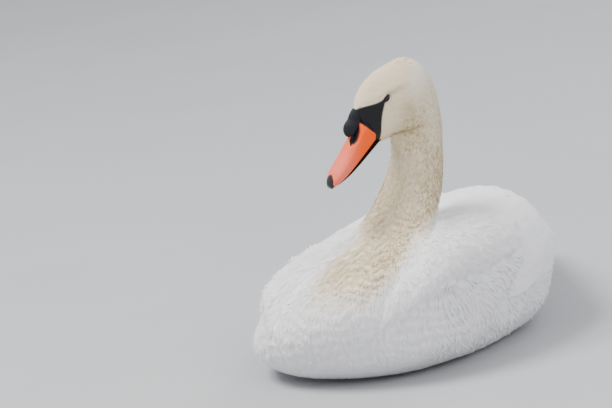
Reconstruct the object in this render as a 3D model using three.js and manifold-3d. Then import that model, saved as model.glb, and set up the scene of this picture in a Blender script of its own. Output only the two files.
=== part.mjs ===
// A life-size mute swan at rest on its belly, its neck drawn up and its head turned down to its right.
// Millimetres, +Z up. The bird faces -Y and its left side is +X. The tables are laid out about the
// body's own middle, and the finished group is moved so that the origin is under the middle of it all.
import * as THREE from "three";
import { mergeVertices } from "three/addons/utils/BufferGeometryUtils.js";
import Module from "manifold-3d";

const wasm = await Module();
wasm.setup();

const GAP = 0.35; // clearance between pieces that meet
const FLOOR = 0; // everything that touches the floor ends on this level
const RADIANS = Math.PI / 180;

// How far each height is carried to the bird's left, and how much a point's height rises per millimetre
// to its left: the left wing is held a little high, and the neck stands off to the left.
const LEAN = [[0, 0], [50, 0], [100, 17], [140, 32], [190, 62], [240, 83], [300, 95], [440, 115]];
const TIP = [[0, 0], [110, 0.1], [175, 0.1], [240, -0.13], [440, -0.13]];

// The head's own plane before it is turned: a point forward and up of the eyes, as [y, z].
const EYES_AT = [-129, 352];
const HEAD_PITCH = 39.5; // degrees the bill points below the level
const headPoint = (forward, up) => {
  const [c, s] = [Math.cos(HEAD_PITCH * RADIANS), Math.sin(HEAD_PITCH * RADIANS)];
  return [EYES_AT[0] - forward * c - up * s, EYES_AT[1] - forward * s + up * c];
};
const TURN = [[225, 0], [306, 37]]; // the neck twists to the bird's right between these heights, in degrees
const TURN_Y = -84; // the neck's own axis, about which it twists

// Stations from the rump forward, round the breast, up the neck and over the head to the bill. Each is
// one ring in the plane of its back and belly points [y, z]. depth is how far down from back to belly
// it is widest, and crown and keel are how square its upper and lower halves are (2 is an ellipse).
const BODY = [
  { back: [352, 78], belly: [350, 66], halfWidth: 10, depth: 0.5, crown: 2, keel: 2 },
  { back: [318, 90], belly: [310, 40], halfWidth: 50, depth: 0.55, crown: 2, keel: 2 },
  { back: [250, 106], belly: [246, 8], halfWidth: 98, depth: 0.5, crown: 2.2, keel: 2.2 },
  { back: [165, 138], belly: [165, -12], halfWidth: 150, depth: 0.5, crown: 2.5, keel: 2.4 },
  { back: [70, 162], belly: [66, -18], halfWidth: 195, depth: 0.53, crown: 2.2, keel: 2.5 },
  { back: [-10, 168], belly: [-30, -18], halfWidth: 192, depth: 0.53, crown: 2.3, keel: 2.5 },
  { back: [-42, 168], belly: [-125, -12], halfWidth: 173, depth: 0.55, crown: 2.3, keel: 2.4 },
  { back: [-50, 171], belly: [-208, 8], halfWidth: 149, depth: 0.6, crown: 2.2, keel: 2.3 },
  { back: [-53, 176], belly: [-250, 52], halfWidth: 124, depth: 0.62, crown: 2, keel: 2.2 },
  { back: [-52, 184], belly: [-262, 104], halfWidth: 93, depth: 0.6, crown: 2, keel: 2 },
  { back: [-50, 198], belly: [-225, 148], halfWidth: 66, depth: 0.55, crown: 2, keel: 2 },
  { back: [-48, 221], belly: [-148, 190], halfWidth: 46.5, depth: 0.5, crown: 2, keel: 2 },
  { back: [-47, 250], belly: [-120, 228], halfWidth: 38.5, depth: 0.5, crown: 2, keel: 2 },
  { back: [-48, 280], belly: [-113.5, 260], halfWidth: 35, depth: 0.5, crown: 2, keel: 2 },
  { back: [-49, 306], belly: [-117, 285], halfWidth: 34, depth: 0.5, crown: 2, keel: 2 },
  { back: headPoint(-45, -64), belly: headPoint(26.5, -49), halfWidth: 33.5, depth: 0.5, crown: 2, keel: 2 },
  { back: headPoint(-56, -42), belly: headPoint(27.5, -47), halfWidth: 33, depth: 0.5, crown: 2, keel: 2 },
  { back: headPoint(-62, -16), belly: headPoint(28.5, -46.5), halfWidth: 32.5, depth: 0.5, crown: 2, keel: 2 },
  { back: headPoint(-58, 6), belly: headPoint(30, -46), halfWidth: 32, depth: 0.5, crown: 2, keel: 2 },
  { back: headPoint(-45, 20), belly: headPoint(31.5, -45.5), halfWidth: 30.5, depth: 0.5, crown: 2, keel: 2 },
  { back: headPoint(-28, 28.5), belly: headPoint(33, -45), halfWidth: 28, depth: 0.52, crown: 2, keel: 2 },
  { back: headPoint(-10, 34), belly: headPoint(35, -44), halfWidth: 25, depth: 0.55, crown: 2, keel: 2 },
  { back: headPoint(8, 36), belly: headPoint(38, -43), halfWidth: 22, depth: 0.6, crown: 2, keel: 2 },
  { back: headPoint(24, 33), belly: headPoint(41, -42), halfWidth: 19, depth: 0.6, crown: 2, keel: 2 },
  { back: headPoint(36, 27), belly: headPoint(45, -40), halfWidth: 16.5, depth: 0.6, crown: 2, keel: 2 },
  { back: headPoint(45, 17), belly: headPoint(49, -37), halfWidth: 13.5, depth: 0.6, crown: 2, keel: 2 },
  { back: headPoint(49, 4), belly: headPoint(51, -30), halfWidth: 8, depth: 0.5, crown: 2, keel: 2 },
];
const BODY_RINGS = 53;
const BODY_SIDES = 26;
const NECK_CUTS = [ // planes that part trunk, lower neck, upper neck and head: [y, z] and a tilt in degrees
  { point: [-95, 200], tilt: 14 },
  { point: [-86, 242], tilt: 8 },
  { point: [-84, 284], tilt: 6 },
];

// Bill, in the head's own axes.
const BILL_UPPER = [
  { forward: 34, top: 8, bottom: -27.5, halfWidth: 15 },
  { forward: 51, top: 6.5, bottom: -30, halfWidth: 16.2 },
  { forward: 67, top: -1, bottom: -32, halfWidth: 15.4 },
  { forward: 86, top: -9.5, bottom: -33.8, halfWidth: 15.4 },
  { forward: 102, top: -15, bottom: -34.6, halfWidth: 16.2 },
  { forward: 114, top: -19, bottom: -34.8, halfWidth: 15.2 },
  { forward: 123, top: -23.5, bottom: -35, halfWidth: 11.5 },
  { forward: 129, top: -29, bottom: -36, halfWidth: 5.5 },
];
const BILL_LOWER = [
  { forward: 37, top: -31, bottom: -37.5, halfWidth: 11.5 },
  { forward: 60, top: -32.5, bottom: -38.2, halfWidth: 12.2 },
  { forward: 92, top: -34.8, bottom: -38.2, halfWidth: 12.4 },
  { forward: 110, top: -35.4, bottom: -37.9, halfWidth: 11.2 },
  { forward: 122, top: -35.6, bottom: -37.3, halfWidth: 6.5 },
];
const KNOB = [ // a bulb that hangs over the bill, and its root on the forehead
  { forward: 57.5, up: 3, sizes: [13.5, 11.5, 13], droop: 30 },
  { forward: 47, up: 10, sizes: [13, 9.5, 10.5], droop: 35 },
];
const NAIL = { forward: 130, up: -29, sizes: [15, 8.5, 9.5], droop: 20 };
const NOSTRIL = { forward: 68, side: 10.5, up: -4, sizes: [12.5, 4, 2.6], droop: 33 };
const EYE = { forward: 7.5, side: 18.2, up: 6.5, radius: 6.2 };

// Folded wing stations from the shoulder back: each ring has a top and a bottom point [y, z], its
// middle's distance from the back line and its half-width.
const WING = [
  { back: [-206, 142], belly: [-247, 88], middle: 66, halfWidth: 10, depth: 0.5, crown: 2 },
  { back: [-166, 168], belly: [-244, 79], middle: 66, halfWidth: 47, depth: 0.5, crown: 2 },
  { back: [-106, 178], belly: [-196, 82], middle: 60, halfWidth: 85, depth: 0.55, crown: 1.9 },
  { back: [-26, 185], belly: [-86, 86], middle: 47, halfWidth: 127, depth: 0.7, crown: 1.75 },
  { back: [60, 190], belly: [40, 84], middle: 35, halfWidth: 152, depth: 0.88, crown: 1.6 },
  { back: [134, 171], belly: [134, 76], middle: 33, halfWidth: 122, depth: 0.86, crown: 1.6 },
  { back: [196, 151], belly: [202, 70], middle: 33, halfWidth: 91, depth: 0.76, crown: 1.7 },
  { back: [256, 127], belly: [262, 67], middle: 30, halfWidth: 64, depth: 0.62, crown: 1.9 },
  { back: [316, 106], belly: [320, 70], middle: 26, halfWidth: 40, depth: 0.5, crown: 2 },
  { back: [368, 92], belly: [370, 75], middle: 19, halfWidth: 22, depth: 0.5, crown: 2 },
  { back: [402, 84], belly: [402, 78], middle: 12, halfWidth: 8, depth: 0.5, crown: 2 },
];
const WING_RINGS = 21;
const WING_SIDES = 24;

// Tail: a narrow fan that slopes to the floor.
const TAIL = [
  { y: 270, z: 88, middle: 0, halfWidth: 50, half: 16 },
  { y: 315, z: 76, middle: -4, halfWidth: 56, half: 13 },
  { y: 355, z: 63, middle: -8, halfWidth: 52, half: 9 },
  { y: 390, z: 52, middle: -12, halfWidth: 40, half: 5.5 },
  { y: 418, z: 43, middle: -15, halfWidth: 22, half: 3 },
  { y: 432, z: 39, middle: -16, halfWidth: 7, half: 1.5 },
];

// Feet, folded flat on the floor under the belly: the ankle is behind and the toes point forward.
const FOOT_SIDE = 66; // from the midline to the ankle
const ANKLE_Y = 62;
const SHANK = { length: 104, radius: 8.5, turnIn: 14 }; // turnIn carries the heel towards the midline
const TOES = [ // length, and the angle from straight ahead, outward being positive
  { name: "inner", length: 104, angle: -22 },
  { name: "middle", length: 126, angle: -2 },
  { name: "outer", length: 116, angle: 18 },
];
const TOE_RADIUS = 6;
const CLAW = { length: 13, radius: 3.2 };
const WEB = { thick: 2.6, reach: 0.86, scallop: 0.8 };
const FOOT_ROOM = { ahead: 16, beside: 9, high: 15.5 }; // the hollow in the belly round each foot

// A smooth line through key values: keys are [at, value], and the curve doesn't overshoot them.
function curveThrough(keys) {
  const slopes = keys.slice(1).map(([at, value], i) => (value - keys[i][1]) / (at - keys[i][0]));
  const tangents = keys.map((_, i) => {
    if (i === 0) return slopes[0];
    if (i === keys.length - 1) return slopes[i - 1];
    const product = slopes[i - 1] * slopes[i];
    return product <= 0 ? 0 : (2 * product) / (slopes[i - 1] + slopes[i]);
  });
  return (at) => {
    let i = keys.findIndex(([key]) => key >= at);
    if (i === 0) return keys[0][1];
    if (i < 0) return keys[keys.length - 1][1];
    i -= 1;
    const span = keys[i + 1][0] - keys[i][0];
    const t = (at - keys[i][0]) / span;
    return keys[i][1] * (1 + 2 * t) * (1 - t) ** 2 + keys[i + 1][1] * t * t * (3 - 2 * t)
      + span * (tangents[i] * t * (1 - t) ** 2 + tangents[i + 1] * t * t * (t - 1));
  };
}

// A Catmull-Rom blend of a table's rows at a share t of the way down it, number by number.
function rowAt(rows, t) {
  const place = t * (rows.length - 1);
  const i = Math.min(Math.floor(place), rows.length - 2);
  const f = place - i;
  const pick = (k) => rows[Math.max(0, Math.min(rows.length - 1, k))];
  const mix = (a, b, c, d) => (Array.isArray(b)
    ? b.map((_, k) => mix(a[k], b[k], c[k], d[k]))
    : b + 0.5 * f * (c - a + f * (2 * a - 5 * b + 4 * c - d + f * (3 * (b - c) + d - a))));
  return Object.fromEntries(Object.keys(rows[0]).map((key) =>
    [key, mix(pick(i - 1)[key], pick(i)[key], pick(i + 1)[key], pick(i + 2)[key])]));
}

const power = (value, exponent) => Math.sign(value) * Math.abs(value) ** exponent;
const leanAt = curveThrough(LEAN);
const tipAt = curveThrough(TIP);
const turnAt = curveThrough(TURN);

// Carries an upright, straight-headed point into the pose: a turn about the neck's axis, then the lean.
function posed(x, y, z, height = z) {
  const turn = turnAt(height) * RADIANS;
  const along = y - TURN_Y;
  const across = x * Math.cos(turn) + along * Math.sin(turn);
  return new THREE.Vector3(
    across + leanAt(z), TURN_Y + along * Math.cos(turn) - x * Math.sin(turn), Math.max(z + across * tipAt(z), FLOOR));
}

// A closed surface over a row of rings, each an array of points, with a fan at either end.
function loft(rings) {
  const sides = rings[0].length;
  const middle = (ring) => ring.reduce((sum, p) => sum.add(p), new THREE.Vector3()).divideScalar(sides);
  const points = [...rings.flat(), middle(rings[0]), middle(rings[rings.length - 1])];
  const faces = [];
  for (let r = 0; r + 1 < rings.length; r++) {
    for (let s = 0; s < sides; s++) {
      const a = r * sides + s;
      const b = r * sides + ((s + 1) % sides);
      faces.push(a, b, b + sides, a, b + sides, a + sides);
    }
  }
  const last = (rings.length - 1) * sides;
  for (let s = 0; s < sides; s++) {
    faces.push(points.length - 2, (s + 1) % sides, s);
    faces.push(points.length - 1, last + s, last + ((s + 1) % sides));
  }
  return solid(points, faces);
}

// A manifold solid from points and triangles, turned to face out.
function solid(points, faces) {
  const vertProperties = new Float32Array(points.flatMap((p) => [p.x, p.y, p.z]));
  const make = (triVerts) => new wasm.Manifold(new wasm.Mesh({ numProp: 3, vertProperties, triVerts }));
  const made = make(new Uint32Array(faces));
  if (made.volume() > 0) return made;
  const turned = [];
  for (let i = 0; i < faces.length; i += 3) turned.push(faces[i], faces[i + 2], faces[i + 1]);
  return make(new Uint32Array(turned));
}

// A solid from a three.js geometry.
function solidOf(geometry) {
  const bare = geometry.clone();
  bare.deleteAttribute("normal");
  bare.deleteAttribute("uv");
  const merged = mergeVertices(bare, 1e-4);
  const position = merged.getAttribute("position");
  const points = Array.from({ length: position.count }, (_, i) => new THREE.Vector3().fromBufferAttribute(position, i));
  return solid(points, Array.from(merged.index.array));
}

// One ring in the plane of a row's back and belly points, grown all round by grow.
function ring(row, sides, grow, place) {
  const [backY, backZ] = row.back;
  const [bellyY, bellyZ] = row.belly;
  const span = Math.hypot(bellyY - backY, bellyZ - backZ);
  return Array.from({ length: sides }, (_, i) => {
    const angle = (2 * Math.PI * i) / sides;
    const upper = Math.cos(angle) > 0;
    const square = 2 / ((upper ? row.crown : row.keel) ?? 2);
    const reach = (upper ? row.depth : 1 - row.depth) * span + grow;
    const down = (row.depth * span - power(Math.cos(angle), square) * reach) / span;
    const x = (row.halfWidth + grow) * power(Math.sin(angle), square);
    return place(x, backY + (bellyY - backY) * down, backZ + (bellyZ - backZ) * down);
  });
}

function bodySolid(grow = 0) {
  return loft(Array.from({ length: BODY_RINGS }, (_, i) => {
    const row = rowAt(BODY, i / (BODY_RINGS - 1));
    const height = (row.back[1] + row.belly[1]) / 2;
    return ring(row, BODY_SIDES, grow, (x, y, z) => posed(x, y, z, height));
  }));
}

// A point given in the head's own axes: forward, left and up of the eyes.
const inHead = (forward, left, up) => {
  const [y, z] = headPoint(forward, up);
  return posed(left, y, z, 400);
};

// A loft along the head's forward axis, through rows of top, bottom and half-width.
function headLoft(rows, rings, sides, { grow = 0, crown = 2, keel = 2 } = {}) {
  return loft(Array.from({ length: rings }, (_, r) => {
    const row = rowAt(rows, r / (rings - 1));
    const high = row.top - row.bottom;
    const depth = row.depth ?? 0.5;
    return Array.from({ length: sides }, (_, i) => {
      const angle = (2 * Math.PI * i) / sides;
      const upper = Math.cos(angle) > 0;
      const square = 2 / (upper ? crown : keel);
      const reach = (upper ? depth : 1 - depth) * high + grow;
      const up = row.top - depth * high + power(Math.cos(angle), square) * reach;
      return inHead(row.forward, (row.halfWidth + grow) * power(Math.sin(angle), square), up);
    });
  }));
}

// An ellipsoid in the head's axes, turned nose-down by droop degrees.
function headEgg(forward, left, up, sizes, droop, segments = 20) {
  const ball = new THREE.SphereGeometry(1, segments, Math.round(segments * 0.6));
  ball.scale(sizes[0], sizes[1], sizes[2]);
  ball.rotateY(droop * RADIANS);
  const at = inHead(forward, left, up);
  const axes = [inHead(forward + 1, left, up), inHead(forward, left + 1, up), inHead(forward, left, up + 1)];
  ball.applyMatrix4(new THREE.Matrix4().makeBasis(...axes.map((tip) => tip.sub(at))).setPosition(at));
  return solidOf(ball);
}

// The half of space behind a plane through a point, as a large block, moved back by inset.
function halfSpace(point, normal, inset = 0) {
  const size = 2000;
  const block = new THREE.BoxGeometry(size, size, size);
  const facing = new THREE.Quaternion().setFromUnitVectors(new THREE.Vector3(0, 0, 1), normal.clone().normalize());
  block.translate(0, 0, -size / 2 - inset);
  block.applyQuaternion(facing);
  block.translate(point.x, point.y, point.z);
  return solidOf(block);
}

// Wing: a loft of rings, later kept on its own side of the back.
function wingSolid(side, grow = 0) {
  return loft(Array.from({ length: WING_RINGS }, (_, r) => {
    const row = rowAt(WING, r / (WING_RINGS - 1));
    return ring(row, WING_SIDES, grow, (x, y, z) => posed(side * (row.middle + x), y, z));
  }));
}

function tailSolid() {
  return loft(Array.from({ length: 8 }, (_, r) => {
    const row = rowAt(TAIL, r / 7);
    return Array.from({ length: 20 }, (_, i) => {
      const angle = (2 * Math.PI * i) / 20;
      const z = row.z + row.half * power(Math.cos(angle), 0.8);
      return posed(row.middle + row.halfWidth * Math.sin(angle), row.y, z);
    });
  }));
}

// A tapered tube laid on the floor from [x, y] to [x, y], flat underneath.
function floorTube(from, to, radii, grow = 0, rings = 3, sides = 8) {
  const along = new THREE.Vector2(to[0] - from[0], to[1] - from[1]);
  const across = new THREE.Vector2(-along.y, along.x).normalize();
  const start = -grow / along.length();
  return loft(Array.from({ length: rings }, (_, r) => {
    const t = start + (1 - 2 * start) * (r / (rings - 1));
    const radius = radii[0] + (radii[1] - radii[0]) * t + grow;
    return Array.from({ length: sides }, (_, i) => {
      const angle = (2 * Math.PI * (i + 0.5)) / sides;
      const side = radius * Math.sin(angle);
      const z = Math.max((radii[0] + (radii[1] - radii[0]) * t) * 0.75 + radius * Math.cos(angle), FLOOR);
      return new THREE.Vector3(from[0] + along.x * t + across.x * side, from[1] + along.y * t + across.y * side, z);
    });
  }));
}

// A flat plate standing on the floor, from an outline of [x, y] points.
function floorPlate(outline, thick) {
  const shape = new THREE.Shape(outline.map(([x, y]) => new THREE.Vector2(x, y)));
  return solidOf(new THREE.ExtrudeGeometry(shape, { depth: thick, bevelEnabled: false }));
}

const toeTip = (side, toe, share = 1) => [
  side * (FOOT_SIDE + Math.sin(toe.angle * RADIANS) * toe.length * share),
  ANKLE_Y - Math.cos(toe.angle * RADIANS) * toe.length * share];

function footSolid(side, grow = 0) {
  const ankle = [side * FOOT_SIDE, ANKLE_Y];
  const toes = TOES.map((toe) => floorTube(ankle, toeTip(side, toe), [TOE_RADIUS, TOE_RADIUS * 0.6], grow));
  const edge = TOES.flatMap((toe, k) => (k === 0 ? [toeTip(side, toe, WEB.reach)] : [
    [0, 1].map((axis) => WEB.scallop * 0.5
      * (toeTip(side, TOES[k - 1], WEB.reach)[axis] + toeTip(side, toe, WEB.reach)[axis]) + (1 - WEB.scallop) * ankle[axis]),
    toeTip(side, toe, WEB.reach)]));
  const web = floorPlate([[ankle[0], ankle[1] + 2], ...edge], WEB.thick + grow);
  return toes.reduce((sum, toe) => sum.add(toe), web);
}

const heel = (side) => [side * (FOOT_SIDE - Math.sin(SHANK.turnIn * RADIANS) * SHANK.length),
  ANKLE_Y + 8 + Math.cos(SHANK.turnIn * RADIANS) * SHANK.length];
const shankSolid = (side, grow = 0) => floorTube(
  [side * (FOOT_SIDE - 1), ANKLE_Y + 8 - grow], heel(side), [SHANK.radius * 0.8, SHANK.radius], grow, 3, 10);

// The hollow round one foot, open at the floor: past the claws, round the heel and back.
function footRoomSolid(side) {
  const { ahead, beside, high } = FOOT_ROOM;
  const tips = TOES.map((toe) => toeTip(side, toe, 1 + ahead / toe.length));
  const [heelX, heelY] = heel(side);
  const at = (x, y, out, back) => [x + side * out, y + back];
  const outline = [
    at(...tips[0], -beside, 2), at(...tips[0], 0, -3), at(...tips[1], -beside, -2), at(...tips[1], beside, -2),
    at(...tips[2], 0, -3), at(...tips[2], beside, 2), at(side * FOOT_SIDE, ANKLE_Y, 1.6 * beside, 0),
    at(heelX, heelY, 1.6 * beside, 0), at(heelX, heelY, 0.8 * beside, 1.5 * beside),
    at(heelX, heelY, -0.8 * beside, 1.5 * beside), at(heelX, heelY, -1.6 * beside, 0),
    at(side * FOOT_SIDE, ANKLE_Y, -1.6 * beside, 0)];
  return floorPlate(outline, high + 1).translate([0, 0, -1]);
}

const plane = ({ point, tilt }) => ({
  point: new THREE.Vector3(0, ...point),
  normal: new THREE.Vector3(0, -Math.sin(tilt * RADIANS), Math.cos(tilt * RADIANS)),
});
const cuts = NECK_CUTS.map(plane);
const below = (k) => halfSpace(cuts[k].point, cuts[k].normal, GAP / 2);
const above = (k) => halfSpace(cuts[k].point, cuts[k].normal.clone().negate(), GAP / 2);
const eggOf = ({ forward, side = 0, up, sizes, droop = 0 }, grow = 0, segments = 16) =>
  headEgg(forward, side, up, sizes.map((size) => size + grow), droop, segments);
const mirrored = (part) => [part, { ...part, side: -part.side }];

const pieces = [];
const add = (name, made, colour, roughness) => pieces.push({ name, made, colour, roughness });
const sides = { left: 1, right: -1 };
const WHITE = 0xf4f4f5;
const BLACK = 0x18171a;
const ORANGE = 0xee6f35;

const body = bodySolid();
const grownBody = bodySolid(GAP);
const grownWings = wingSolid(1, GAP).add(wingSolid(-1, GAP));
const eyes = mirrored({ ...EYE, sizes: [EYE.radius, EYE.radius, EYE.radius] });
const sockets = eyes.map((eye) => eggOf(eye, GAP, 12)).reduce((sum, socket) => sum.add(socket));
const footRoom = Object.values(sides).map(footRoomSolid).reduce((sum, room) => sum.add(room));

add("trunk", body.intersect(below(0)).subtract(footRoom), WHITE, 0.85);
add("neck_lower", body.intersect(above(0)).intersect(below(1)), 0xe8dfcd, 0.85);
add("neck_upper", body.intersect(above(1)).intersect(below(2)), 0xe2d8c3, 0.85);
add("head", body.intersect(above(2)).subtract(sockets), 0xebe3d3, 0.85);
const eyeNames = ["eye_left", "eye_right"];
eyes.forEach((eye, k) => add(eyeNames[k], eggOf(eye, 0, 12), 0x1a120d, 0.15));

// The bill's two halves, each clear of the face; the nail is the end of the upper half.
const billUpper = headLoft(BILL_UPPER, 12, 16, { crown: 2, keel: 3 });
const grownBillUpper = headLoft(BILL_UPPER, 12, 16, { crown: 2, keel: 3, grow: GAP });
const nostrils = mirrored(NOSTRIL).map((nostril) => eggOf(nostril, 0, 7)).reduce((sum, made) => sum.add(made));
add("bill_upper", billUpper.subtract(grownBody).subtract(eggOf(NAIL, GAP, 10)).subtract(nostrils), ORANGE, 0.45);
add("bill_nail", billUpper.intersect(eggOf(NAIL, 0, 10)), BLACK, 0.5);
add("bill_lower", headLoft(BILL_LOWER, 8, 14, { crown: 3, keel: 2.2 }).subtract(grownBody).subtract(grownBillUpper),
  BLACK, 0.5);
const knob = KNOB.map((egg) => eggOf(egg, 0, 12)).reduce((sum, made) => sum.add(made));
add("bill_knob", knob.subtract(grownBody).subtract(grownBillUpper), BLACK, 0.55);

for (const [name, side] of Object.entries(sides)) {
  const midline = new THREE.Vector3(leanAt(170) + side * GAP / 2, 0, 170);
  const own = halfSpace(midline, new THREE.Vector3(-side, 0, side * 0.5));
  add(`wing_${name}`, wingSolid(side).intersect(own).subtract(grownBody), WHITE, 0.8);
}
add("tail", tailSolid().subtract(grownBody).subtract(grownWings), WHITE, 0.8);
for (const [name, side] of Object.entries(sides)) {
  const foot = footSolid(side);
  const ankleGap = shankSolid(side, GAP);
  add(`leg_${name}`, shankSolid(side), BLACK, 0.6);
  add(`foot_${name}`, foot.subtract(ankleGap), BLACK, 0.6);
  for (const toe of TOES) {
    const tip = toeTip(side, toe, 1 + GAP / toe.length);
    const point = toeTip(side, toe, 1 + (GAP + CLAW.length) / toe.length);
    add(`claw_${toe.name}_${name}`, floorTube(tip, point, [CLAW.radius, CLAW.radius * 0.3], 0, 2, 6), BLACK, 0.4);
  }
}

// The origin is moved under the middle of everything.
const boxes = pieces.map(({ made }) => made.boundingBox());
const middle = [0, 1].map((axis) => (Math.min(...boxes.map((box) => box.min[axis]))
  + Math.max(...boxes.map((box) => box.max[axis]))) / 2);
const group = new THREE.Group();
group.name = "mute_swan";
for (const { name, made, colour, roughness } of pieces) {
  const { vertProperties, triVerts } = made.getMesh();
  const geometry = new THREE.BufferGeometry();
  geometry.setAttribute("position", new THREE.BufferAttribute(new Float32Array(vertProperties), 3));
  geometry.setIndex(new THREE.BufferAttribute(new Uint32Array(triVerts), 1));
  geometry.translate(-middle[0], -middle[1], 0);
  const mesh = new THREE.Mesh(geometry, new THREE.MeshStandardMaterial({ color: colour, roughness, metalness: 0 }));
  mesh.name = name;
  group.add(mesh);
}

export default group;
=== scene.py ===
"""A life-size mute swan, resting on its belly with its neck drawn up and its head turned down to its right.

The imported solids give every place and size. One skin takes the place of the solids of flesh, and the coat
of feathers is laid over it as joined meshes of vanes and small tufts. The bill's parts are finer copies of
their solids, the eyes are balls of their own under lids, and the legs, feet and claws keep their solids.
Lengths are metres in Blender; the tables of the body are millimetres.
"""
import math

import bmesh
import bpy
import numpy as np
from mathutils import Matrix, Vector
from mathutils.bvhtree import BVHTree
from mathutils.kdtree import KDTree


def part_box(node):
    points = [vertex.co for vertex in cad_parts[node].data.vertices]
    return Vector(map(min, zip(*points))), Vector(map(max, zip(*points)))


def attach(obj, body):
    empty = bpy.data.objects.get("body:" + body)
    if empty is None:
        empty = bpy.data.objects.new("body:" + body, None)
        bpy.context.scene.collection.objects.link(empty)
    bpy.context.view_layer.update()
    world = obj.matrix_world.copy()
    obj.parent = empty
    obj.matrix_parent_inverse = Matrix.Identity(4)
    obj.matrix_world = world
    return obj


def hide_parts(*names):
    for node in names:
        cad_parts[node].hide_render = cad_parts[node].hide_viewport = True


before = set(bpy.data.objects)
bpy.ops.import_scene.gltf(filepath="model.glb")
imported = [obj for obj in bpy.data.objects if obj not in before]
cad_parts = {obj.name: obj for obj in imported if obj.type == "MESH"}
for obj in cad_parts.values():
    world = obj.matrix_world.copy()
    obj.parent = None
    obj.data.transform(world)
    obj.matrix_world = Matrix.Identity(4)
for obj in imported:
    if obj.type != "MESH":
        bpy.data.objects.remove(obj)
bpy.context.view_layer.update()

MM = 0.001
ROOT = "root"
SEED = 20240517

# ---------------------------------------------------------------------------------------------
# The body's own axes, as the solids have them: tables in millimetres, then carried into the pose.

# How far the body leans to the side, how much it tips across, and the degrees of turn, each by height.
LEAN = [[0, 0], [50, 0], [100, 17], [140, 32], [190, 62], [240, 83], [300, 95], [440, 115]]
TIP = [[0, 0], [110, 0.1], [175, 0.1], [240, -0.13], [440, -0.13]]
HEAD_PITCH = math.radians(39.5)
TURN = [[225, 0], [306, 37]]
TURN_Y = -84.0  # the neck turns about this y
FULL_TURN = 400.0  # a height at which the turn is complete
EYES_AT = (-129.0, 352.0)  # y and z of the head's own origin, a little behind and below the eyes
EYE = {"forward": 7.5, "side": 18.2, "up": 6.5, "radius": 6.15}
PLACE = np.zeros(3)  # the tables' origin in the row frame, set from the left eye below


def curve_through(keys):
    """A smooth line through [at, value] keys that doesn't overshoot them, for arrays of places."""
    at, value = np.array(keys, float).T
    slopes = np.diff(value) / np.diff(at)
    tangents = np.concatenate([slopes[:1], np.zeros(len(at) - 2), slopes[-1:]])
    both = slopes[:-1] * slopes[1:]
    inner = both > 0
    tangents[1:-1][inner] = 2 * both[inner] / (slopes[:-1] + slopes[1:])[inner]

    def line(x):
        x = np.clip(np.asarray(x, float), at[0], at[-1])
        i = np.clip(np.searchsorted(at, x) - 1, 0, len(at) - 2)
        span = at[i + 1] - at[i]
        t = (x - at[i]) / span
        return (value[i] * (1 + 2 * t) * (1 - t) ** 2 + value[i + 1] * t * t * (3 - 2 * t)
                + span * (tangents[i] * t * (1 - t) ** 2 + tangents[i + 1] * t * t * (t - 1)))

    return line


lean_at, tip_at, turn_at = curve_through(LEAN), curve_through(TIP), curve_through(TURN)


def posed(x, y, z, height=None):
    """Points of the upright, straight-headed bird in millimetres, carried into the pose, in metres."""
    x, y, z = np.broadcast_arrays(np.asarray(x, float), y, z)
    turn = np.radians(turn_at(z if height is None else height))
    along = y - TURN_Y
    across = x * np.cos(turn) + along * np.sin(turn)
    out = np.stack([across + lean_at(z), TURN_Y + along * np.cos(turn) - x * np.sin(turn),
                    z + across * tip_at(z)], -1)
    return (out + PLACE) * MM


def head_point(forward, up):
    """[y, z] in the straight-headed bird of a point forward and up of the head's origin."""
    c, s = math.cos(HEAD_PITCH), math.sin(HEAD_PITCH)
    return EYES_AT[0] - forward * c - up * s, EYES_AT[1] - forward * s + up * c


def in_head(forward, left, up):
    """The place in metres of points given in the head's own axes, in millimetres."""
    y, z = head_point(np.asarray(forward, float), np.asarray(up, float))
    return posed(left, y, z, FULL_TURN)


def to_head(points):
    """The head's own (forward, left, up) in millimetres of places in metres."""
    p = np.asarray(points, float) / MM - PLACE
    z = p[..., 2].copy()
    for _ in range(12):
        z = p[..., 2] - (p[..., 0] - lean_at(z)) * tip_at(z)
    turn = math.radians(TURN[-1][1])
    across, behind = p[..., 0] - lean_at(z), p[..., 1] - TURN_Y
    along = across * math.sin(turn) + behind * math.cos(turn)
    left = across * math.cos(turn) - behind * math.sin(turn)
    dy, dz = TURN_Y + along - EYES_AT[0], z - EYES_AT[1]
    c, s = math.cos(HEAD_PITCH), math.sin(HEAD_PITCH)
    return np.stack([-dy * c - dz * s, left, -dy * s + dz * c], -1)


def tables_origin():
    """Where the tables' origin lies in the row frame, in millimetres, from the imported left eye."""
    low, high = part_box("eye_left")
    middle = (np.array(low) + np.array(high)) / 2
    shift = (middle - in_head(EYE["forward"], EYE["side"], EYE["up"])) / MM
    return np.array([shift[0], shift[1], 0.0])


PLACE = tables_origin()


# ---------------------------------------------------------------------------------------------
# Camera, floor and light.

VIEW_AZIMUTH, VIEW_ELEVATION, VIEW_ROLL = math.radians(24), math.radians(14), math.radians(8.5)
VIEW_DISTANCE = 4.0
VIEW_LENS = 176.47
AIM_RIGHT, AIM_UP = -0.1036, 0.2002  # from the tables' origin to the middle of the frame, in metres


def linked(name, data):
    """A new object of the scene that holds this data."""
    made = bpy.data.objects.new(name, data)
    bpy.context.collection.objects.link(made)
    return made


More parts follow.
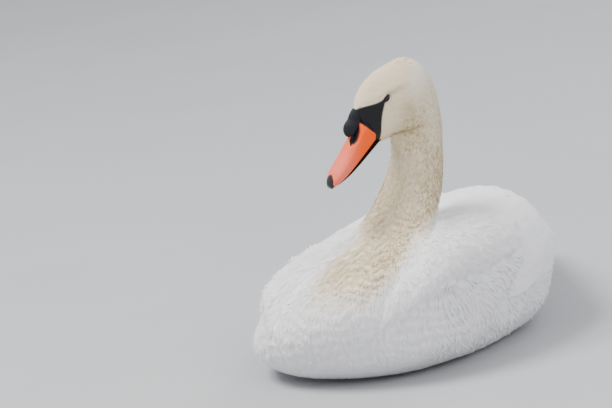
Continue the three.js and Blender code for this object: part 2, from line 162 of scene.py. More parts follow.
def make_camera():
    azimuth, elevation = VIEW_AZIMUTH, VIEW_ELEVATION
    away = Vector((math.sin(azimuth) * math.cos(elevation), -math.cos(azimuth) * math.cos(elevation),
                   math.sin(elevation)))
    right = Vector((math.cos(azimuth), math.sin(azimuth), 0))
    up = away.cross(right)
    origin = Vector(PLACE * MM)
    camera = linked("camera", bpy.data.cameras.new("camera"))
    camera.data.lens = VIEW_LENS
    camera.data.clip_start, camera.data.clip_end = 0.1, 60
    # The frame is rolled, so the aim's offset is given along the rolled picture's own sides.
    aim = origin + right * AIM_RIGHT + up * AIM_UP
    camera.location = origin + away * VIEW_DISTANCE
    look = (aim - camera.location).to_track_quat("-Z", "Y")
    camera.rotation_mode = "QUATERNION"
    camera.rotation_quaternion = look @ Matrix.Rotation(-VIEW_ROLL, 4, "Z").to_quaternion()
    bpy.context.scene.camera = camera


LIT_PLACE = Vector((0, 0, 0.15))  # every light is aimed here
LIGHTS = (("key", (-1.9, -1.8, 4.6), 2.4, 345, (1.0, 0.98, 0.95)),  # name, place, width, watts, tint
          ("fill", (3.4, -2.6, 2.6), 3.0, 82, (1.0, 0.985, 0.96)),
          ("rim", (1.2, 3.6, 3.2), 2.6, 60, (0.97, 0.98, 1.0)))


def area_light(name, place, size, power, tint):
    light = bpy.data.lights.new(name, "AREA")
    light.shape, light.size, light.energy, light.color = "DISK", size, power, tint
    made = linked(name, light)
    made.location = place
    made.rotation_euler = (LIT_PLACE - Vector(place)).to_track_quat("-Z", "Y").to_euler()


# ---------------------------------------------------------------------------------------------
# Shader maths.


class Value:
    """A shader socket that takes part in sums and products."""

    def __init__(self, shade, socket):
        self.shade, self.socket = shade, socket

    def maths(self, operation, *others, **more):
        return self.shade.node("Math", {"operation": operation, **more},
                               dict(enumerate((self, *others))))

    def __add__(self, other):
        return self.maths("ADD", other)

    def __sub__(self, other):
        return self.maths("SUBTRACT", other)

    def __mul__(self, other):
        return self.maths("MULTIPLY", other)

    def __rsub__(self, other):
        return self.shade.node("Math", {"operation": "SUBTRACT"}, {0: other, 1: self})

    __radd__, __rmul__ = __add__, __mul__

    def clamped(self):
        return self.maths("ADD", 0.0, use_clamp=True)

    def steps(self, low, high):
        """0 below low and 1 above high, smooth between them."""
        return self.shade.node("MapRange", {"interpolation_type": "SMOOTHSTEP"},
                               {"Value": self, "From Min": low, "From Max": high})


class Shade:
    """One material and the nodes that make it."""

    def __init__(self, name):
        self.material = bpy.data.materials.new(name)
        self.material.use_nodes = True
        self.tree = self.material.node_tree
        self.tree.nodes.clear()

    def put(self, socket, value):
        if isinstance(value, Value):
            self.tree.links.new(value.socket, socket)
        else:
            socket.default_value = value

    def node(self, kind, settings=None, sockets=None, out=0):
        made = self.tree.nodes.new("ShaderNode" + kind)
        for key, value in (settings or {}).items():
            setattr(made, key, value)
        for key, value in (sockets or {}).items():
            self.put(made.inputs[key], value)
        return Value(self, made.outputs[out])

    def attribute(self, name):
        return self.node("Attribute", {"attribute_name": name}, out="Fac")

    def places(self):
        return self.node("TexCoord", out="Object")

    def noise(self, scale, detail=2.0, rough=0.5):
        return self.node("TexNoise", sockets={"Vector": self.places(), "Scale": scale, "Detail": detail,
                                              "Roughness": rough}, out="Fac")

    def mix(self, share, first, second):
        """A colour between two colours."""
        made = self.tree.nodes.new("ShaderNodeMix")
        made.data_type = "RGBA"
        for socket, value in ((0, share), (6, first), (7, second)):
            if isinstance(value, tuple):
                value = (*value, 1)
            self.put(made.inputs[socket], value)
        return Value(self, made.outputs[2])

    def bump(self, height, strength, depth):
        return self.node("Bump", sockets={"Height": height, "Strength": strength, "Distance": depth})

    def finish(self, **sockets):
        shader = self.node("BsdfPrincipled", sockets={
            key.replace("_", " "): (*value, 1) if key.endswith(("Color", "Tint")) and isinstance(value, tuple)
            else value for key, value in sockets.items()}, out="BSDF")
        output = self.tree.nodes.new("ShaderNodeOutputMaterial")
        self.tree.links.new(shader.socket, output.inputs["Surface"])
        return self.material


def srgb(red, green, blue):
    """A colour as scene-linear values from the eye's 0 to 255."""
    return tuple(((v / 255 + 0.055) / 1.055) ** 2.4 if v > 10 else v / 255 / 12.92
                 for v in (red, green, blue))


WHITE = srgb(243, 243, 246)
WARM_WHITE = srgb(250, 243, 234)
CREAM = srgb(241, 226, 194)
# Brown of the flecks of stain, also painted shade on the side turned from the key light and towards the
# tufts' roots.
STAIN_AND_SHADE = srgb(172, 142, 94)
# Olive brown of painted shade in the head's furrow and fold and under the cheek, partly a warm tint of the
# cheek.
TINT_AND_SHADE = srgb(160, 138, 88)
LID_EDGE = srgb(196, 204, 216)
# Black of the bare skin and lower bill, also painted shade in the nostrils and over the upper lids.
BLACK_SKIN_AND_SHADE = (0.006, 0.0065, 0.008)
KNOB_GREY = (0.006, 0.007, 0.010)
ORANGE = (1.0, 0.105, 0.001)
SALMON = (0.9, 0.175, 0.11)


def plumage(name, lift):
    """Feathers and the skin under them: white, with the same stains and painted shade wherever they lie."""
    s = Shade(name)
    cream, fleck, warm, olive, black, tone, along, rim = map(
        s.attribute, ("cream", "fleck", "warm", "olive", "black", "tone", "along", "rim"))
    cloud, clump, speck = s.noise(16, 3), s.noise(150, 2), s.noise(420, 2, 0.6)
    base = s.mix(warm * 0.9, WHITE, WARM_WHITE)
    base = s.mix((cream * (0.8 + 0.35 * cloud)).clamped(), base, CREAM)
    # Flecks of stain and painted shade, darker towards each tuft's root as painted shade between the tufts.
    patchy = (tone * 0.5 + clump * 0.55 + speck * 0.3).steps(0.42, 0.95)
    base = s.mix((fleck * patchy * (1.15 - 0.7 * along)).clamped(), base, STAIN_AND_SHADE)
    # Painted shade in the head's furrow and fold and under the cheek, partly a warm tint.
    base = s.mix((olive * (0.7 + 0.5 * cloud)).clamped(), base, TINT_AND_SHADE)
    base = s.mix(black, base, BLACK_SKIN_AND_SHADE)
    base = s.mix(rim, base, LID_EDGE)
    barbs = s.node("TexWave", {"wave_type": "BANDS", "bands_direction": "DIAGONAL"},
                   {"Vector": s.places(), "Scale": 260.0, "Distortion": 6.0, "Detail": 1.0}, out="Fac")
    return s.finish(Base_Color=base, Roughness=0.66 - 0.22 * black, Sheen_Weight=0.05,
                    Specular_IOR_Level=0.25, Normal=s.bump(barbs + speck, lift, 0.0006))


def horn(name):
    """The bill: orange behind, salmon to the tip, with its black base and edge, and black painted shade in
    its nostrils.
    """
    s = Shade(name)
    pale, black = s.attribute("pale"), s.attribute("black")
    cloud, grain = s.noise(90, 3), s.noise(700, 3, 0.6)
    base = s.mix((pale * 1.1 + (cloud - 0.5) * 0.35).clamped(), ORANGE, SALMON)
    base = s.mix(cloud.steps(0.5, 0.8) * 0.18, base, (0.7, 0.1, 0.03))
    base = s.mix(black, base, BLACK_SKIN_AND_SHADE)
    return s.finish(Base_Color=base, Roughness=0.42 + 0.2 * grain, Specular_IOR_Level=0.2,
                    Normal=s.bump(grain + cloud, 0.25, 0.0006))


def black_horn(name, colour, rough):
    s = Shade(name)
    grain, fine = s.noise(260, 3), s.noise(1500, 2)
    return s.finish(Base_Color=s.mix(grain, colour, tuple(1.9 * c for c in colour)),
                    Roughness=rough + 0.2 * fine, Specular_IOR_Level=0.3,
                    Normal=s.bump(grain + fine * 0.4, 0.35, 0.0005))


def scaled_skin(name):
    """Grey-black skin of the legs and webs, in small scales."""
    s = Shade(name)
    cells = s.node("TexVoronoi", {"feature": "DISTANCE_TO_EDGE"}, {"Vector": s.places(), "Scale": 420.0},
                   out="Distance")
    grain = s.noise(500, 2)
    edge = cells.steps(0.0, 0.12)
    return s.finish(Base_Color=s.mix(edge, (0.012, 0.012, 0.012), (0.04, 0.041, 0.042)),
                    Roughness=0.45 + 0.2 * grain, Normal=s.bump(edge, 0.6, 0.0006))


def eyeball(name):
    """Dark brown iris about a black pupil, under a clear wet front."""
    s = Shade(name)
    out = s.attribute("rim")
    iris = s.mix(out.steps(0.3, 0.42), (0.003, 0.002, 0.002), (0.035, 0.014, 0.006))
    base = s.mix(out.steps(0.8, 0.95), iris, (0.008, 0.006, 0.005))
    return s.finish(Base_Color=base, Roughness=0.12, Coat_Weight=0.5, Coat_Roughness=0.03,
                    Specular_IOR_Level=0.3)


# ---------------------------------------------------------------------------------------------
# Mesh tools.


def new_object(name, vertices, faces, material, smooth=True):
    mesh = bpy.data.meshes.new(name)
    mesh.from_pydata(np.asarray(vertices).tolist(), [], faces if isinstance(faces, list) else faces.tolist())
    mesh.materials.append(material)
    mesh.update()
    mesh.polygons.foreach_set("use_smooth", np.full(len(mesh.polygons), smooth))
    return linked(name, mesh)


def dressed(name, mesh, material):
    """A smooth object with this one material."""
    mesh.materials.clear()
    mesh.materials.append(material)
    mesh.polygons.foreach_set("use_smooth", np.ones(len(mesh.polygons), bool))
    return linked(name, mesh)


def grid_faces(rows, columns, first=0, closed=False):
    """Quads between rows of points, which close round on themselves where asked."""
    pairs = [(first + k * columns + j, first + k * columns + (j + 1) % columns)
             for k in range(rows - 1) for j in range(columns if closed else columns - 1)]
    return [[a, a + columns, b + columns, b] for a, b in pairs]


def evaluated(obj):
    """obj's mesh with its modifiers applied, as new data."""
    graph = bpy.context.evaluated_depsgraph_get()
    return bpy.data.meshes.new_from_object(obj.evaluated_get(graph), depsgraph=graph)


def places_of(mesh):
    out = np.empty(len(mesh.vertices) * 3)
    mesh.vertices.foreach_get("co", out)
    return out.reshape(-1, 3)


def normals_of(mesh):
    out = np.empty(len(mesh.vertices) * 3, np.float32)
    mesh.vertex_normals.foreach_get("vector", out)
    return out.reshape(-1, 3).astype(float)


def triangles_of(mesh):
    mesh.calc_loop_triangles()
    out = np.empty(len(mesh.loop_triangles) * 3, np.int32)
    mesh.loop_triangles.foreach_get("vertices", out)
    return out.reshape(-1, 3)


def corners_of(mesh):
    out = np.empty(len(mesh.loops), np.int32)
    mesh.loops.foreach_get("vertex_index", out)
    return out


def edges_of(mesh):
    out = np.empty(len(mesh.edges) * 2, np.int32)
    mesh.edges.foreach_get("vertices", out)
    return out.reshape(-1, 2)


def move_to(mesh, places):
    mesh.vertices.foreach_set("co", np.asarray(places, np.float32).ravel())
    mesh.update()


def averaged(values, edges, times, share=0.5):
    """Values at vertices, each drawn towards its neighbours' mean."""
    values = np.array(values, float)
    flat = values.reshape(len(values), -1)
    count = np.bincount(edges.ravel(), minlength=len(values))[:, None].clip(1)
    for _ in range(times):
        total = np.stack([np.bincount(edges[:, 0], column[edges[:, 1]], len(values))
                          + np.bincount(edges[:, 1], column[edges[:, 0]], len(values))
                          for column in flat.T], 1)
        flat = flat + share * (total / count - flat)
    return flat.reshape(values.shape)


def rounded(places, edges, times):
    """Smoothed places that keep their volume: each pass in is followed by one out."""
    for _ in range(times):
        places = averaged(places, edges, 1, 0.5)
        places = averaged(places, edges, 1, -0.52)
    return places


def unit(vectors):
    return vectors / np.maximum(np.linalg.norm(vectors, axis=-1, keepdims=True), 1e-12)


def smooth_step(values, low, high):
    t = np.clip((values - low) / (high - low), 0, 1)
    return t * t * (3 - 2 * t)


def set_values(mesh, **named):
    """Named numbers at the vertices, for the materials to read."""
    for name, values in named.items():
        made = mesh.attributes.new(name, "FLOAT", "POINT")
        made.data.foreach_set("value", np.broadcast_to(values, len(mesh.vertices)).astype(np.float32))


def joined_copy(names, grow):
    """The named solids as one mesh, each welded and grown a little so that they run together."""
    places, faces, start = [], [], 0
    for name in names:
        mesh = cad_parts[name].data
        raw = places_of(mesh)
        _, first, back = np.unique(np.round(raw / (0.01 * MM)).astype(np.int64), axis=0,
                                   return_index=True, return_inverse=True)
        back = back.ravel()
        tris = back[triangles_of(mesh)]
        tris = tris[(tris[:, 0] != tris[:, 1]) & (tris[:, 1] != tris[:, 2]) & (tris[:, 0] != tris[:, 2])]
        at = raw[first]
        corner = at[tris]
        face_normal = np.cross(corner[:, 1] - corner[:, 0], corner[:, 2] - corner[:, 0])
        normal = np.zeros_like(at)
        for k in range(3):
            np.add.at(normal, tris[:, k], face_normal)
        places.append(at + unit(normal) * grow)
        faces.append(tris + start)
        start += len(at)
    return np.concatenate(places), np.concatenate(faces)


def remeshed(name, vertices, faces, voxel):
    """A closed, even mesh round these faces."""
    mesh = bpy.data.meshes.new(name)
    mesh.from_pydata(vertices.tolist(), [], faces.tolist())
    made = linked(name, mesh)
    modifier = made.modifiers.new("even", "REMESH")
    modifier.mode, modifier.voxel_size, modifier.adaptivity = "VOXEL", voxel, 0.0
    out = evaluated(made)
    bpy.data.objects.remove(made)
    bpy.data.meshes.remove(mesh)
    return largest_part(out)


def largest_part(mesh):
    """The mesh without any part that isn't joined to its largest one."""
    edges = edges_of(mesh)
    label = np.arange(len(mesh.vertices))
    while True:
        least = label.copy()
        np.minimum.at(least, edges[:, 0], label[edges[:, 1]])
        np.minimum.at(least, edges[:, 1], label[edges[:, 0]])
        least = least[least]
        if (least == label).all():
            break
        label = least
    names, counts = np.unique(label, return_counts=True)
    if len(names) == 1:
        return mesh
    keep = label == names[counts.argmax()]
    index = np.cumsum(keep) - 1
    faces = [[int(index[v]) for v in f.vertices] for f in mesh.polygons if keep[f.vertices[0]]]
    out = bpy.data.meshes.new(mesh.name)
    out.from_pydata(places_of(mesh)[keep].tolist(), [], faces)
    bpy.data.meshes.remove(mesh)
    return out


def point_tree(points):
    tree = KDTree(len(points))
    for i, p in enumerate(points):
        tree.insert(p, i)
    tree.balance()
    return tree


def nearest_vertices(at, points):
    """The index of the place in at that is nearest to each point."""
    tree = point_tree(at)
    return np.array([tree.find(p)[1] for p in points])


def nearest(tree, points):
    """The nearest places on a surface, its normals there and how far off they are."""
    found = [tree.find_nearest(Vector(p)) for p in points]
    return tuple(np.array([f[k] for f in found]) for k in (0, 1, 3))


# ---------------------------------------------------------------------------------------------
# Skin: one closed surface in place of the solids of flesh.

FLESH = ("head", "neck_upper", "neck_lower", "trunk", "wing_left", "wing_right", "tail")
HEAD, NECK_UPPER, NECK_LOWER, TRUNK, WING_LEFT, WING_RIGHT, TAIL = range(7)
COAT_DEPTH = np.array([1.0, 1.5, 2.0, 3.0, 3.0, 3.0, 2.2]) * MM  # how far in the skin is set, by region
ORBIT_PRESS = 3.2  # how far the skin is pressed in under the lids, in millimetres
SKIN_OFF_FLOOR, COAT_OFF_FLOOR = 1.0 * MM, 0.6 * MM  # the least height of each
SKIN_VOXEL = 3.4 * MM
JOIN = 1.5 * MM  # the solids are grown by this before they are joined, which closes the gaps between them

# Outline of the black bare skin before the eye, in the head's own forward and up.
LORES = [(2.0, 7.6), (6.5, 9.3), (10.8, 9.6), (15.6, 10.2), (21.2, 12.0), (26.7, 14.6), (32.9, 17.6),
         (38.0, 19.3), (42.0, 19.6), (46.0, 30.0), (80.0, 30.0), (80.0, -60.0), (50.0, -36.5),
         (46.0, -33.0), (42.4, -28.0), (37.3, -20.3), (33.4, -14.0), (27.6, -6.9), (23.0, -2.5),
         (18.0, 1.6), (14.0, 4.2), (10.0, 5.2), (6.0, 6.0)]
# Lines of the head's forms, in its own forward and up.
BROW = [(30, 21), (20, 17), (10, 15), (0, 13), (-10, 10), (-20, 6)]
FURROW = [(3.5, 8.0), (-4.7, 6.0), (-13.1, 4.6), (-20, 3.4)]
FOLD = [(38.0, -33.0), (30.8, -38.2), (25.5, -42.4), (18.2, -44.5), (10.7, -46.8), (3.1, -48.8), (-6, -52)]
FLANK_EDGE = curve_through([[-260, 112], [-201, 124], [-177, 116], [-112, 110], [-60, 118], [0, 128],
                            [60, 122], [140, 100], [260, 70], [420, 60]])
# Lines where the breast passes under the front of each wing, in the tables' own places.
WING_FRONT_LEFT = [(116, -100, 196), (118, -124, 183), (123, -154, 177), (123, -176, 169), (119, -195, 156),
                   (105, -209, 144), (94, -226, 131), (87, -238, 115), (81, -244, 98), (73, -244, 80),
                   (66, -239, 58), (62, -232, 30)]
WING_FRONT_RIGHT = [(32, -131, 195), (26, -157, 180), (-1, -172, 164), (-27, -188, 148), (-50, -213, 123),
                    (-65, -229, 101), (-81, -231, 65), (-88, -226, 35)]
BIB_LINE = curve_through([[100, 27], [120, 30], [136, 35], [149, 42], [163, 53], [178, 62], [207, 70],
                          [240, 78]])
BIB_WIDTH = curve_through([[100, 40], [135, 55], [155, 55], [178, 45], [207, 40]])


def inside_outline(points, outline):
    """Signed distance to a closed outline in the plane, positive inside."""
    a = np.array(outline, float)
    b = np.roll(a, -1, 0)
    p = points[:, None, :]
    along = b - a
    t = np.clip(((p - a) * along).sum(-1) / (along ** 2).sum(-1), 0, 1)
    distance = np.linalg.norm(p - a - t[..., None] * along, axis=-1).min(1)
    crosses = ((a[:, 1] > p[..., 1]) != (b[:, 1] > p[..., 1])) & (
        p[..., 0] < (b[:, 0] - a[:, 0]) * (p[..., 1] - a[:, 1]) / (b[:, 1] - a[:, 1] + 1e-12) + a[:, 0])
    return np.where(crosses.sum(1) % 2 == 1, distance, -distance)


class Skin:
    """The skin's mesh with what the coat needs to know at each of its points."""

    def __init__(self):
        mesh = remeshed("skin", *joined_copy(FLESH, JOIN), SKIN_VOXEL)
        self.refine_head(mesh)
        self.edges = edges_of(mesh)
        at = rounded(places_of(mesh), self.edges, 5)
        at = averaged(at, self.edges, 1, 0.5)
        self.share = self.region_shares(at)
        at = self.without_wing_steps(at)
        move_to(mesh, at)
        self.mesh = mesh
        normal = unit(averaged(normals_of(mesh), self.edges, 6))
        depth = self.share @ COAT_DEPTH
        depth = depth * (1 - smooth_step(self.lores_at(at), -1.5, 1.0))
        at = at - normal * (depth + JOIN)[:, None]
        upper = self.share[:, HEAD] + self.share[:, NECK_UPPER]
        forms = self.head_forms(at) * upper + self.body_forms(at, normal)
        at = at + normal * (forms * MM)[:, None]
        self.over_eyes = BVHTree.FromPolygons(at.tolist(), triangles_of(mesh).tolist())
        at = self.orbits(at, normal)
        at[:, 2] = np.maximum(at[:, 2], SKIN_OFF_FLOOR)
        move_to(mesh, at)
        self.at, self.normal = at, normals_of(mesh)
        self.soft_normal = unit(averaged(self.normal, self.edges, 4))
        self.flow = self.lie_of_feathers()
        self.marks = self.markings(at, self.soft_normal)
        self.triangles = triangles_of(mesh)
        self.tree = BVHTree.FromPolygons(at.tolist(), self.triangles.tolist())

    def without_wing_steps(self, at):
        """Fills the steps under the wings' lower and front edges, which loose feathers hide."""
        _, y, z = (at / MM - PLACE).T
        low = smooth_step(z, 40, 60) * (1 - smooth_step(z - FLANK_EDGE(y), 2, 14))
        low = low * smooth_step(y, -215, -170)
        body = self.share[:, TRUNK] + self.share[:, WING_LEFT] + self.share[:, WING_RIGHT]
        front = body * smooth_step(-y, 85, 120) * (1 - smooth_step(z, 175, 195))
        filled = np.maximum(low, front)
        return at + filled[:, None] * (averaged(at, self.edges, 50) - at)

    @staticmethod
    def refine_head(mesh):
        """Halves the head's faces, and once more along the bare skin's edge and round the eyes."""
        bm = bmesh.new()
        bm.from_mesh(mesh)
        for finer in (False, True):
            bm.verts.ensure_lookup_table()
            bm.verts.index_update()
            places = np.array([v.co[:] for v in bm.verts])
            at = to_head(places)
            near = (at[:, 0] > -22) & (at[:, 2] > -52) & (at[:, 0] < 70) & (np.abs(at[:, 1]) < 60)
            if finer:
                round_eye = np.hypot(at[:, 0] - EYE["forward"], at[:, 2] - EYE["up"]) < 8
                near &= (np.abs(Skin.lores_at(places)) < 3) | round_eye
            edges = [e for e in bm.edges if near[e.verts[0].index] and near[e.verts[1].index]]
            bmesh.ops.subdivide_edges(bm, edges=edges, cuts=1, use_grid_fill=True)
        bm.to_mesh(mesh)
        bm.free()
        mesh.update()

    def region_shares(self, at):
        """How much of each region a point belongs to, running softly from one to the next."""
        gaps = []
        for name in FLESH:
            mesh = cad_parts[name].data
            tree = BVHTree.FromPolygons(places_of(mesh).tolist(), triangles_of(mesh).tolist())
            gaps.append([tree.find_nearest(Vector(p))[3] for p in at])
        closest = np.array(gaps).argmin(0)
        return averaged(np.eye(len(FLESH))[closest], self.edges, 14)

    @staticmethod
    def lores_at(at):
        """How deep in the black bare skin a place is, in millimetres; negative outside it."""
        head = to_head(at)
        deep = np.full(len(at), -50.0)
        near = (head[:, 0] > -10) & (head[:, 2] > -60) & (np.abs(head[:, 1]) < 50) & (at[:, 2] > 0.25)
        deep[near] = inside_outline(head[near][:, [0, 2]], LORES)
        return deep

    @staticmethod
    def head_forms(at):
        """Brow, the furrow behind the eye, the swollen cheek and the fold under it, in millimetres."""
        profile = to_head(at)[:, [0, 2]]
        forward, up = profile.T
        brow, _, _ = line_gap(profile, BROW)
        furrow, behind, _ = line_gap(profile, FURROW)
        fold, along, apart = line_gap(profile, FOLD)
        lip = np.where(apart[:, 1] > 0, 1.7 * np.exp(-((fold - 6) / 4.5) ** 2),
                       -0.6 * np.exp(-(fold / 8) ** 2))
        held = smooth_step(along, 0.12, 0.4) * (1 - 0.6 * smooth_step(along, 0.8, 1))
        return (0.9 * np.exp(-(brow / 4.5) ** 2) - 1.2 * (1 - behind) * np.exp(-(furrow / 3.6) ** 2)
                + 1.6 * bump_at(forward, up, (-5, -24), (14, 15))
                + held * (lip - 2.6 * np.exp(-(fold / 2.4) ** 2)))

    def body_forms(self, at, normal):
        """Rows of ruffled feathers on the breast, the loose flank over the wing, and soft swells."""
        x, y, z = (at / MM - PLACE).T
        front = smooth_step(-normal[:, 1], 0.1, 0.5) * smooth_step(-y, 95, 150)
        rows = front * (1 - self.share[:, WING_LEFT] - self.share[:, WING_RIGHT])
        bib = rows * smooth_step(z, 112, 132) * (1 - smooth_step(z, 200, 225))
        low = rows * smooth_step(z, 25, 50) * (1 - smooth_step(z, 104, 125))
        self.row_phase = self.bib_rows(x, z)
        low_rows = np.sin((z + 7 * np.sin(x / 19 + 1) + 4 * np.sin(x / 8.3 + z / 23)) * 2 * math.pi / 15)
        fronts = 0
        for line, side in ((WING_FRONT_LEFT, 1), (WING_FRONT_RIGHT, -1)):
            gap, _, apart = line_gap(at / MM - PLACE, line)
            past = side * apart[:, 0]
            fronts = (fronts - 2.4 * np.exp(-(gap / 3.5) ** 2)
                      + 2.2 * np.exp(-((gap - 11) / 8) ** 2) * smooth_step(past, -2, 3))
            if side == 1:
                self.past_left = np.where(gap < 60, past, -60)
        edge = FLANK_EDGE(y) + 8 * np.abs(np.sin(y * math.pi / 47 + 0.6)) + 2.5 * np.sin(y / 7 + z / 9)
        under = edge - z
        flank = smooth_step(np.abs(normal[:, 0]), 0.3, 0.6) * smooth_step(y, -215, -150)
        loose = smooth_step(under, 0, 4) * (1 - 0.75 * smooth_step(under, 12, 50)) * flank
        swell = (np.sin(y / 13 + z / 29 + 1) * np.sin(z / 11 - x / 37) + 0.6 * np.sin(y / 7.3 - z / 17)
                 * np.sin(z / 6.1 + y / 23)) * (1 - smooth_step(z, 95, 125)) * flank
        self.loose = loose
        return (0.9 * bib * np.sin(self.row_phase) + 0.8 * low * low_rows + 3.2 * loose + 0.8 * swell
                + fronts * (normal[:, 1] < 0.3))

    @staticmethod
    def bib_rows(x, z):
        """Where a point lies in the wavy rows across the breast, in radians."""
        wander = 4 * np.sin(x / 15 + 1.3) + 2.6 * np.sin(x / 6.3 + z / 31) + 1.8 * np.sin(z / 9 + x / 4.1)
        return (z + wander) * 2 * math.pi / 7.5

    @staticmethod
    def orbits(at, normal):
        """Presses the skin in under the lids, so that it stays off the eyeball."""
        head = to_head(at)
        forward, up = head[:, 0] - EYE["forward"], head[:, 2] - EYE["up"]
        near = np.abs(head[:, 1]) > 8
        press = ORBIT_PRESS * (1 - smooth_step(np.hypot(forward, up), 4.0, 6.6)) * near * (np.abs(up) < 12)
        return at - normal * (press * MM)[:, None]

    def lie_of_feathers(self):
        """The way the feathers point: back from the bill, down the neck, then back over the body."""
        spine = [(*head_point(f, u), FULL_TURN) for f, u in
                 ((60, -20), (45, -14), (30, -8), (15, 0), (0, 5), (-15, 2), (-27, -8), (-30, -25),
                  (-24, -42))]
        spine += [(y, z, z) for y, z in ((-82, 288), (-83, 268), (-85, 248), (-92, 226), (-104, 202),
                                         (-125, 176), (-148, 150))]
        line = np.concatenate([posed(0.0, y, z, height)[None] for y, z, height in spine])
        middle, along = (line[1:] + line[:-1]) / 2, unit(np.diff(line, axis=0))
        gap = ((self.at[:, None] - middle) ** 2).sum(-1)
        weight = np.exp(-(gap - gap.min(1, keepdims=True)) / (2 * (16 * MM) ** 2))
        neck = unit(weight @ along)
        front = np.maximum(0, -self.soft_normal[:, 1:2])
        body = np.array([0, 1.0, -0.22]) + front * np.array([0, 0, -3.2])
        # In front of the neck the feathers spread from it, over the breast and down.
        base = posed(0.0, -120, 185)
        away = self.at - base
        gap = np.linalg.norm(away, axis=1, keepdims=True) / MM
        ahead = smooth_step(-(self.at[:, [1]] / MM - PLACE[1]), 50, 120) * (1 - smooth_step(gap, 110, 200))
        body = unit(body) * (1 - ahead) + unit(away) * ahead
        body = body + self.share[:, [WING_LEFT]] * np.array([-0.18, 0.1, 0.1])
        body = body + self.share[:, [WING_RIGHT]] * np.array([0.18, 0.1, 0.1])
        upper = self.share[:, HEAD] + self.share[:, NECK_UPPER] + self.share[:, NECK_LOWER]
        flow = neck * upper[:, None] + unit(body) * (1 - upper[:, None])
        for _ in range(3):
            flow = flow - (flow * self.soft_normal).sum(1, keepdims=True) * self.soft_normal
            flow = averaged(unit(flow), self.edges, 5)
        flow = flow - (flow * self.soft_normal).sum(1, keepdims=True) * self.soft_normal
        return unit(flow)

    def markings(self, at, normal):
        """Stains, bare skin and painted shade, each from 0 to 1 at every point."""
        x, y, z = (at / MM - PLACE).T
        profile = to_head(at)[:, [0, 2]]
        forward, up = profile.T
        s = self.share
        neck = s[:, NECK_UPPER] + s[:, NECK_LOWER]
        wings = s[:, WING_LEFT] + s[:, WING_RIGHT]
        across = x - BIB_LINE(z)
        bib = 1 - smooth_step(np.abs(across), BIB_WIDTH(z) - 22, BIB_WIDTH(z) + 10)
        bib = bib * smooth_step(z, 104, 150)
        bib = bib * smooth_step(-y, 60, 110) * (1 - 0.6 * wings) * (1 - smooth_step(self.past_left, -1, 4))
        # On the head the stain fades out from the throat to the cheek and crown.
        crown = smooth_step(up, -32, 4)
        velvet = np.exp(-((self.lores_at(at) + 2) / 6) ** 2)
        cream = np.maximum(neck, bib) + s[:, HEAD] * (0.8 - 0.74 * crown) * (1 - 0.8 * velvet)
        warm = s[:, HEAD] * crown * 0.9 + 0.12 * (1 - neck)
        side = normal[:, 0] * 0.85 + normal[:, 1] * 0.35
        high = smooth_step(z, 255, 300)
        troughs = 0.5 - 0.5 * np.sin(self.row_phase)
        nape = s[:, HEAD] * (1 - smooth_step(up + 0.35 * forward, -48, -8))
        # Flecks of stain on the neck and bib, with painted shade: heavier on the side turned from the key
        # light, and deeper in the troughs between the breast's rows.
        fleck = ((neck + nape) * (0.5 + 0.45 * smooth_step(side, -0.3, 0.6)) * (1 - 0.4 * high)
                 + bib * (1 - neck) * (0.85 * troughs ** 2 + 0.7 * smooth_step(across, 0, 28)))
        fleck = fleck * (1 - 0.75 * np.clip(s[:, HEAD] - nape, 0, 1))
        furrow, behind, _ = line_gap(profile, FURROW)
        fold, along, _ = line_gap(profile, FOLD)
        held = smooth_step(along, 0.12, 0.4) * (1 - 0.5 * smooth_step(along, 0.8, 1))
        on_head = s[:, HEAD] + s[:, NECK_UPPER]
        # Painted shade in olive brown: in the furrow behind the eye, along the fold under the cheek and over
        # the cheek's lower part, where it is partly a warm tint.
        olive = (0.4 * bump_at(forward, up, (-3, -20), (10, 11))
                 + 0.25 * bump_at(forward, up, (8, -36), (16, 8))
                 + held * (0.8 * np.exp(-(fold / 2.0) ** 2) + 0.3 * np.exp(-(fold / 7) ** 2))
                 + 0.4 * (1 - 0.8 * behind) * np.exp(-(furrow / 3.2) ** 2))
        black = smooth_step(self.lores_at(at), -0.9, 0.9)
        return {"cream": np.clip(cream, 0, 1), "fleck": np.clip(fleck, 0, 1), "warm": np.clip(warm, 0, 1),
                "olive": np.clip(olive * on_head, 0, 1), "black": black}

    def build(self, material):
        set_values(self.mesh, tone=0.4, **self.marks)
        self.mesh.name = "skin"
        return dressed("skin", self.mesh, material)


def line_gap(points, line):
    """The distance from points to a broken line, the share of the line passed, and the way from it."""
    a, b = np.array(line[:-1], float), np.array(line[1:], float)
    t = np.clip(((points[:, None] - a) * (b - a)).sum(-1) / ((b - a) ** 2).sum(-1), 0, 1)
    apart = points[:, None] - a - t[..., None] * (b - a)
    gap = np.linalg.norm(apart, axis=-1)
    least = gap.argmin(1)
    row = np.arange(len(points))
    return gap[row, least], (least + t[row, least]) / len(a), apart[row, least]


def bump_at(forward, up, middle, reach):
    return np.exp(-((forward - middle[0]) / reach[0]) ** 2 - ((up - middle[1]) / reach[1]) ** 2)


# ---------------------------------------------------------------------------------------------
# Coat: vanes and small tufts rooted on the skin, each lying along the lie of the feathers.


def unwrapped(skin):
    """Flat places of every corner of the skin's triangles, on an unwrap of its own shape."""
    mesh = bpy.data.meshes.new("unwrap")
    mesh.from_pydata(skin.at.tolist(), [], skin.triangles.tolist())
    made = linked("unwrap", mesh)
    bpy.context.view_layer.objects.active = made
    made.select_set(True)
    bpy.ops.object.mode_set(mode="EDIT")
    bpy.ops.mesh.select_all(action="SELECT")
    bpy.ops.uv.smart_project(angle_limit=math.radians(66), island_margin=0.004)
    bpy.ops.object.mode_set(mode="OBJECT")
    flat = np.empty(len(mesh.loops) * 2)
    mesh.uv_layers.active.data.foreach_get("uv", flat)
    order = corners_of(mesh).reshape(-1, 3)
    bpy.data.objects.remove(made)
    bpy.data.meshes.remove(mesh)
    return order, flat.reshape(-1, 3, 2)


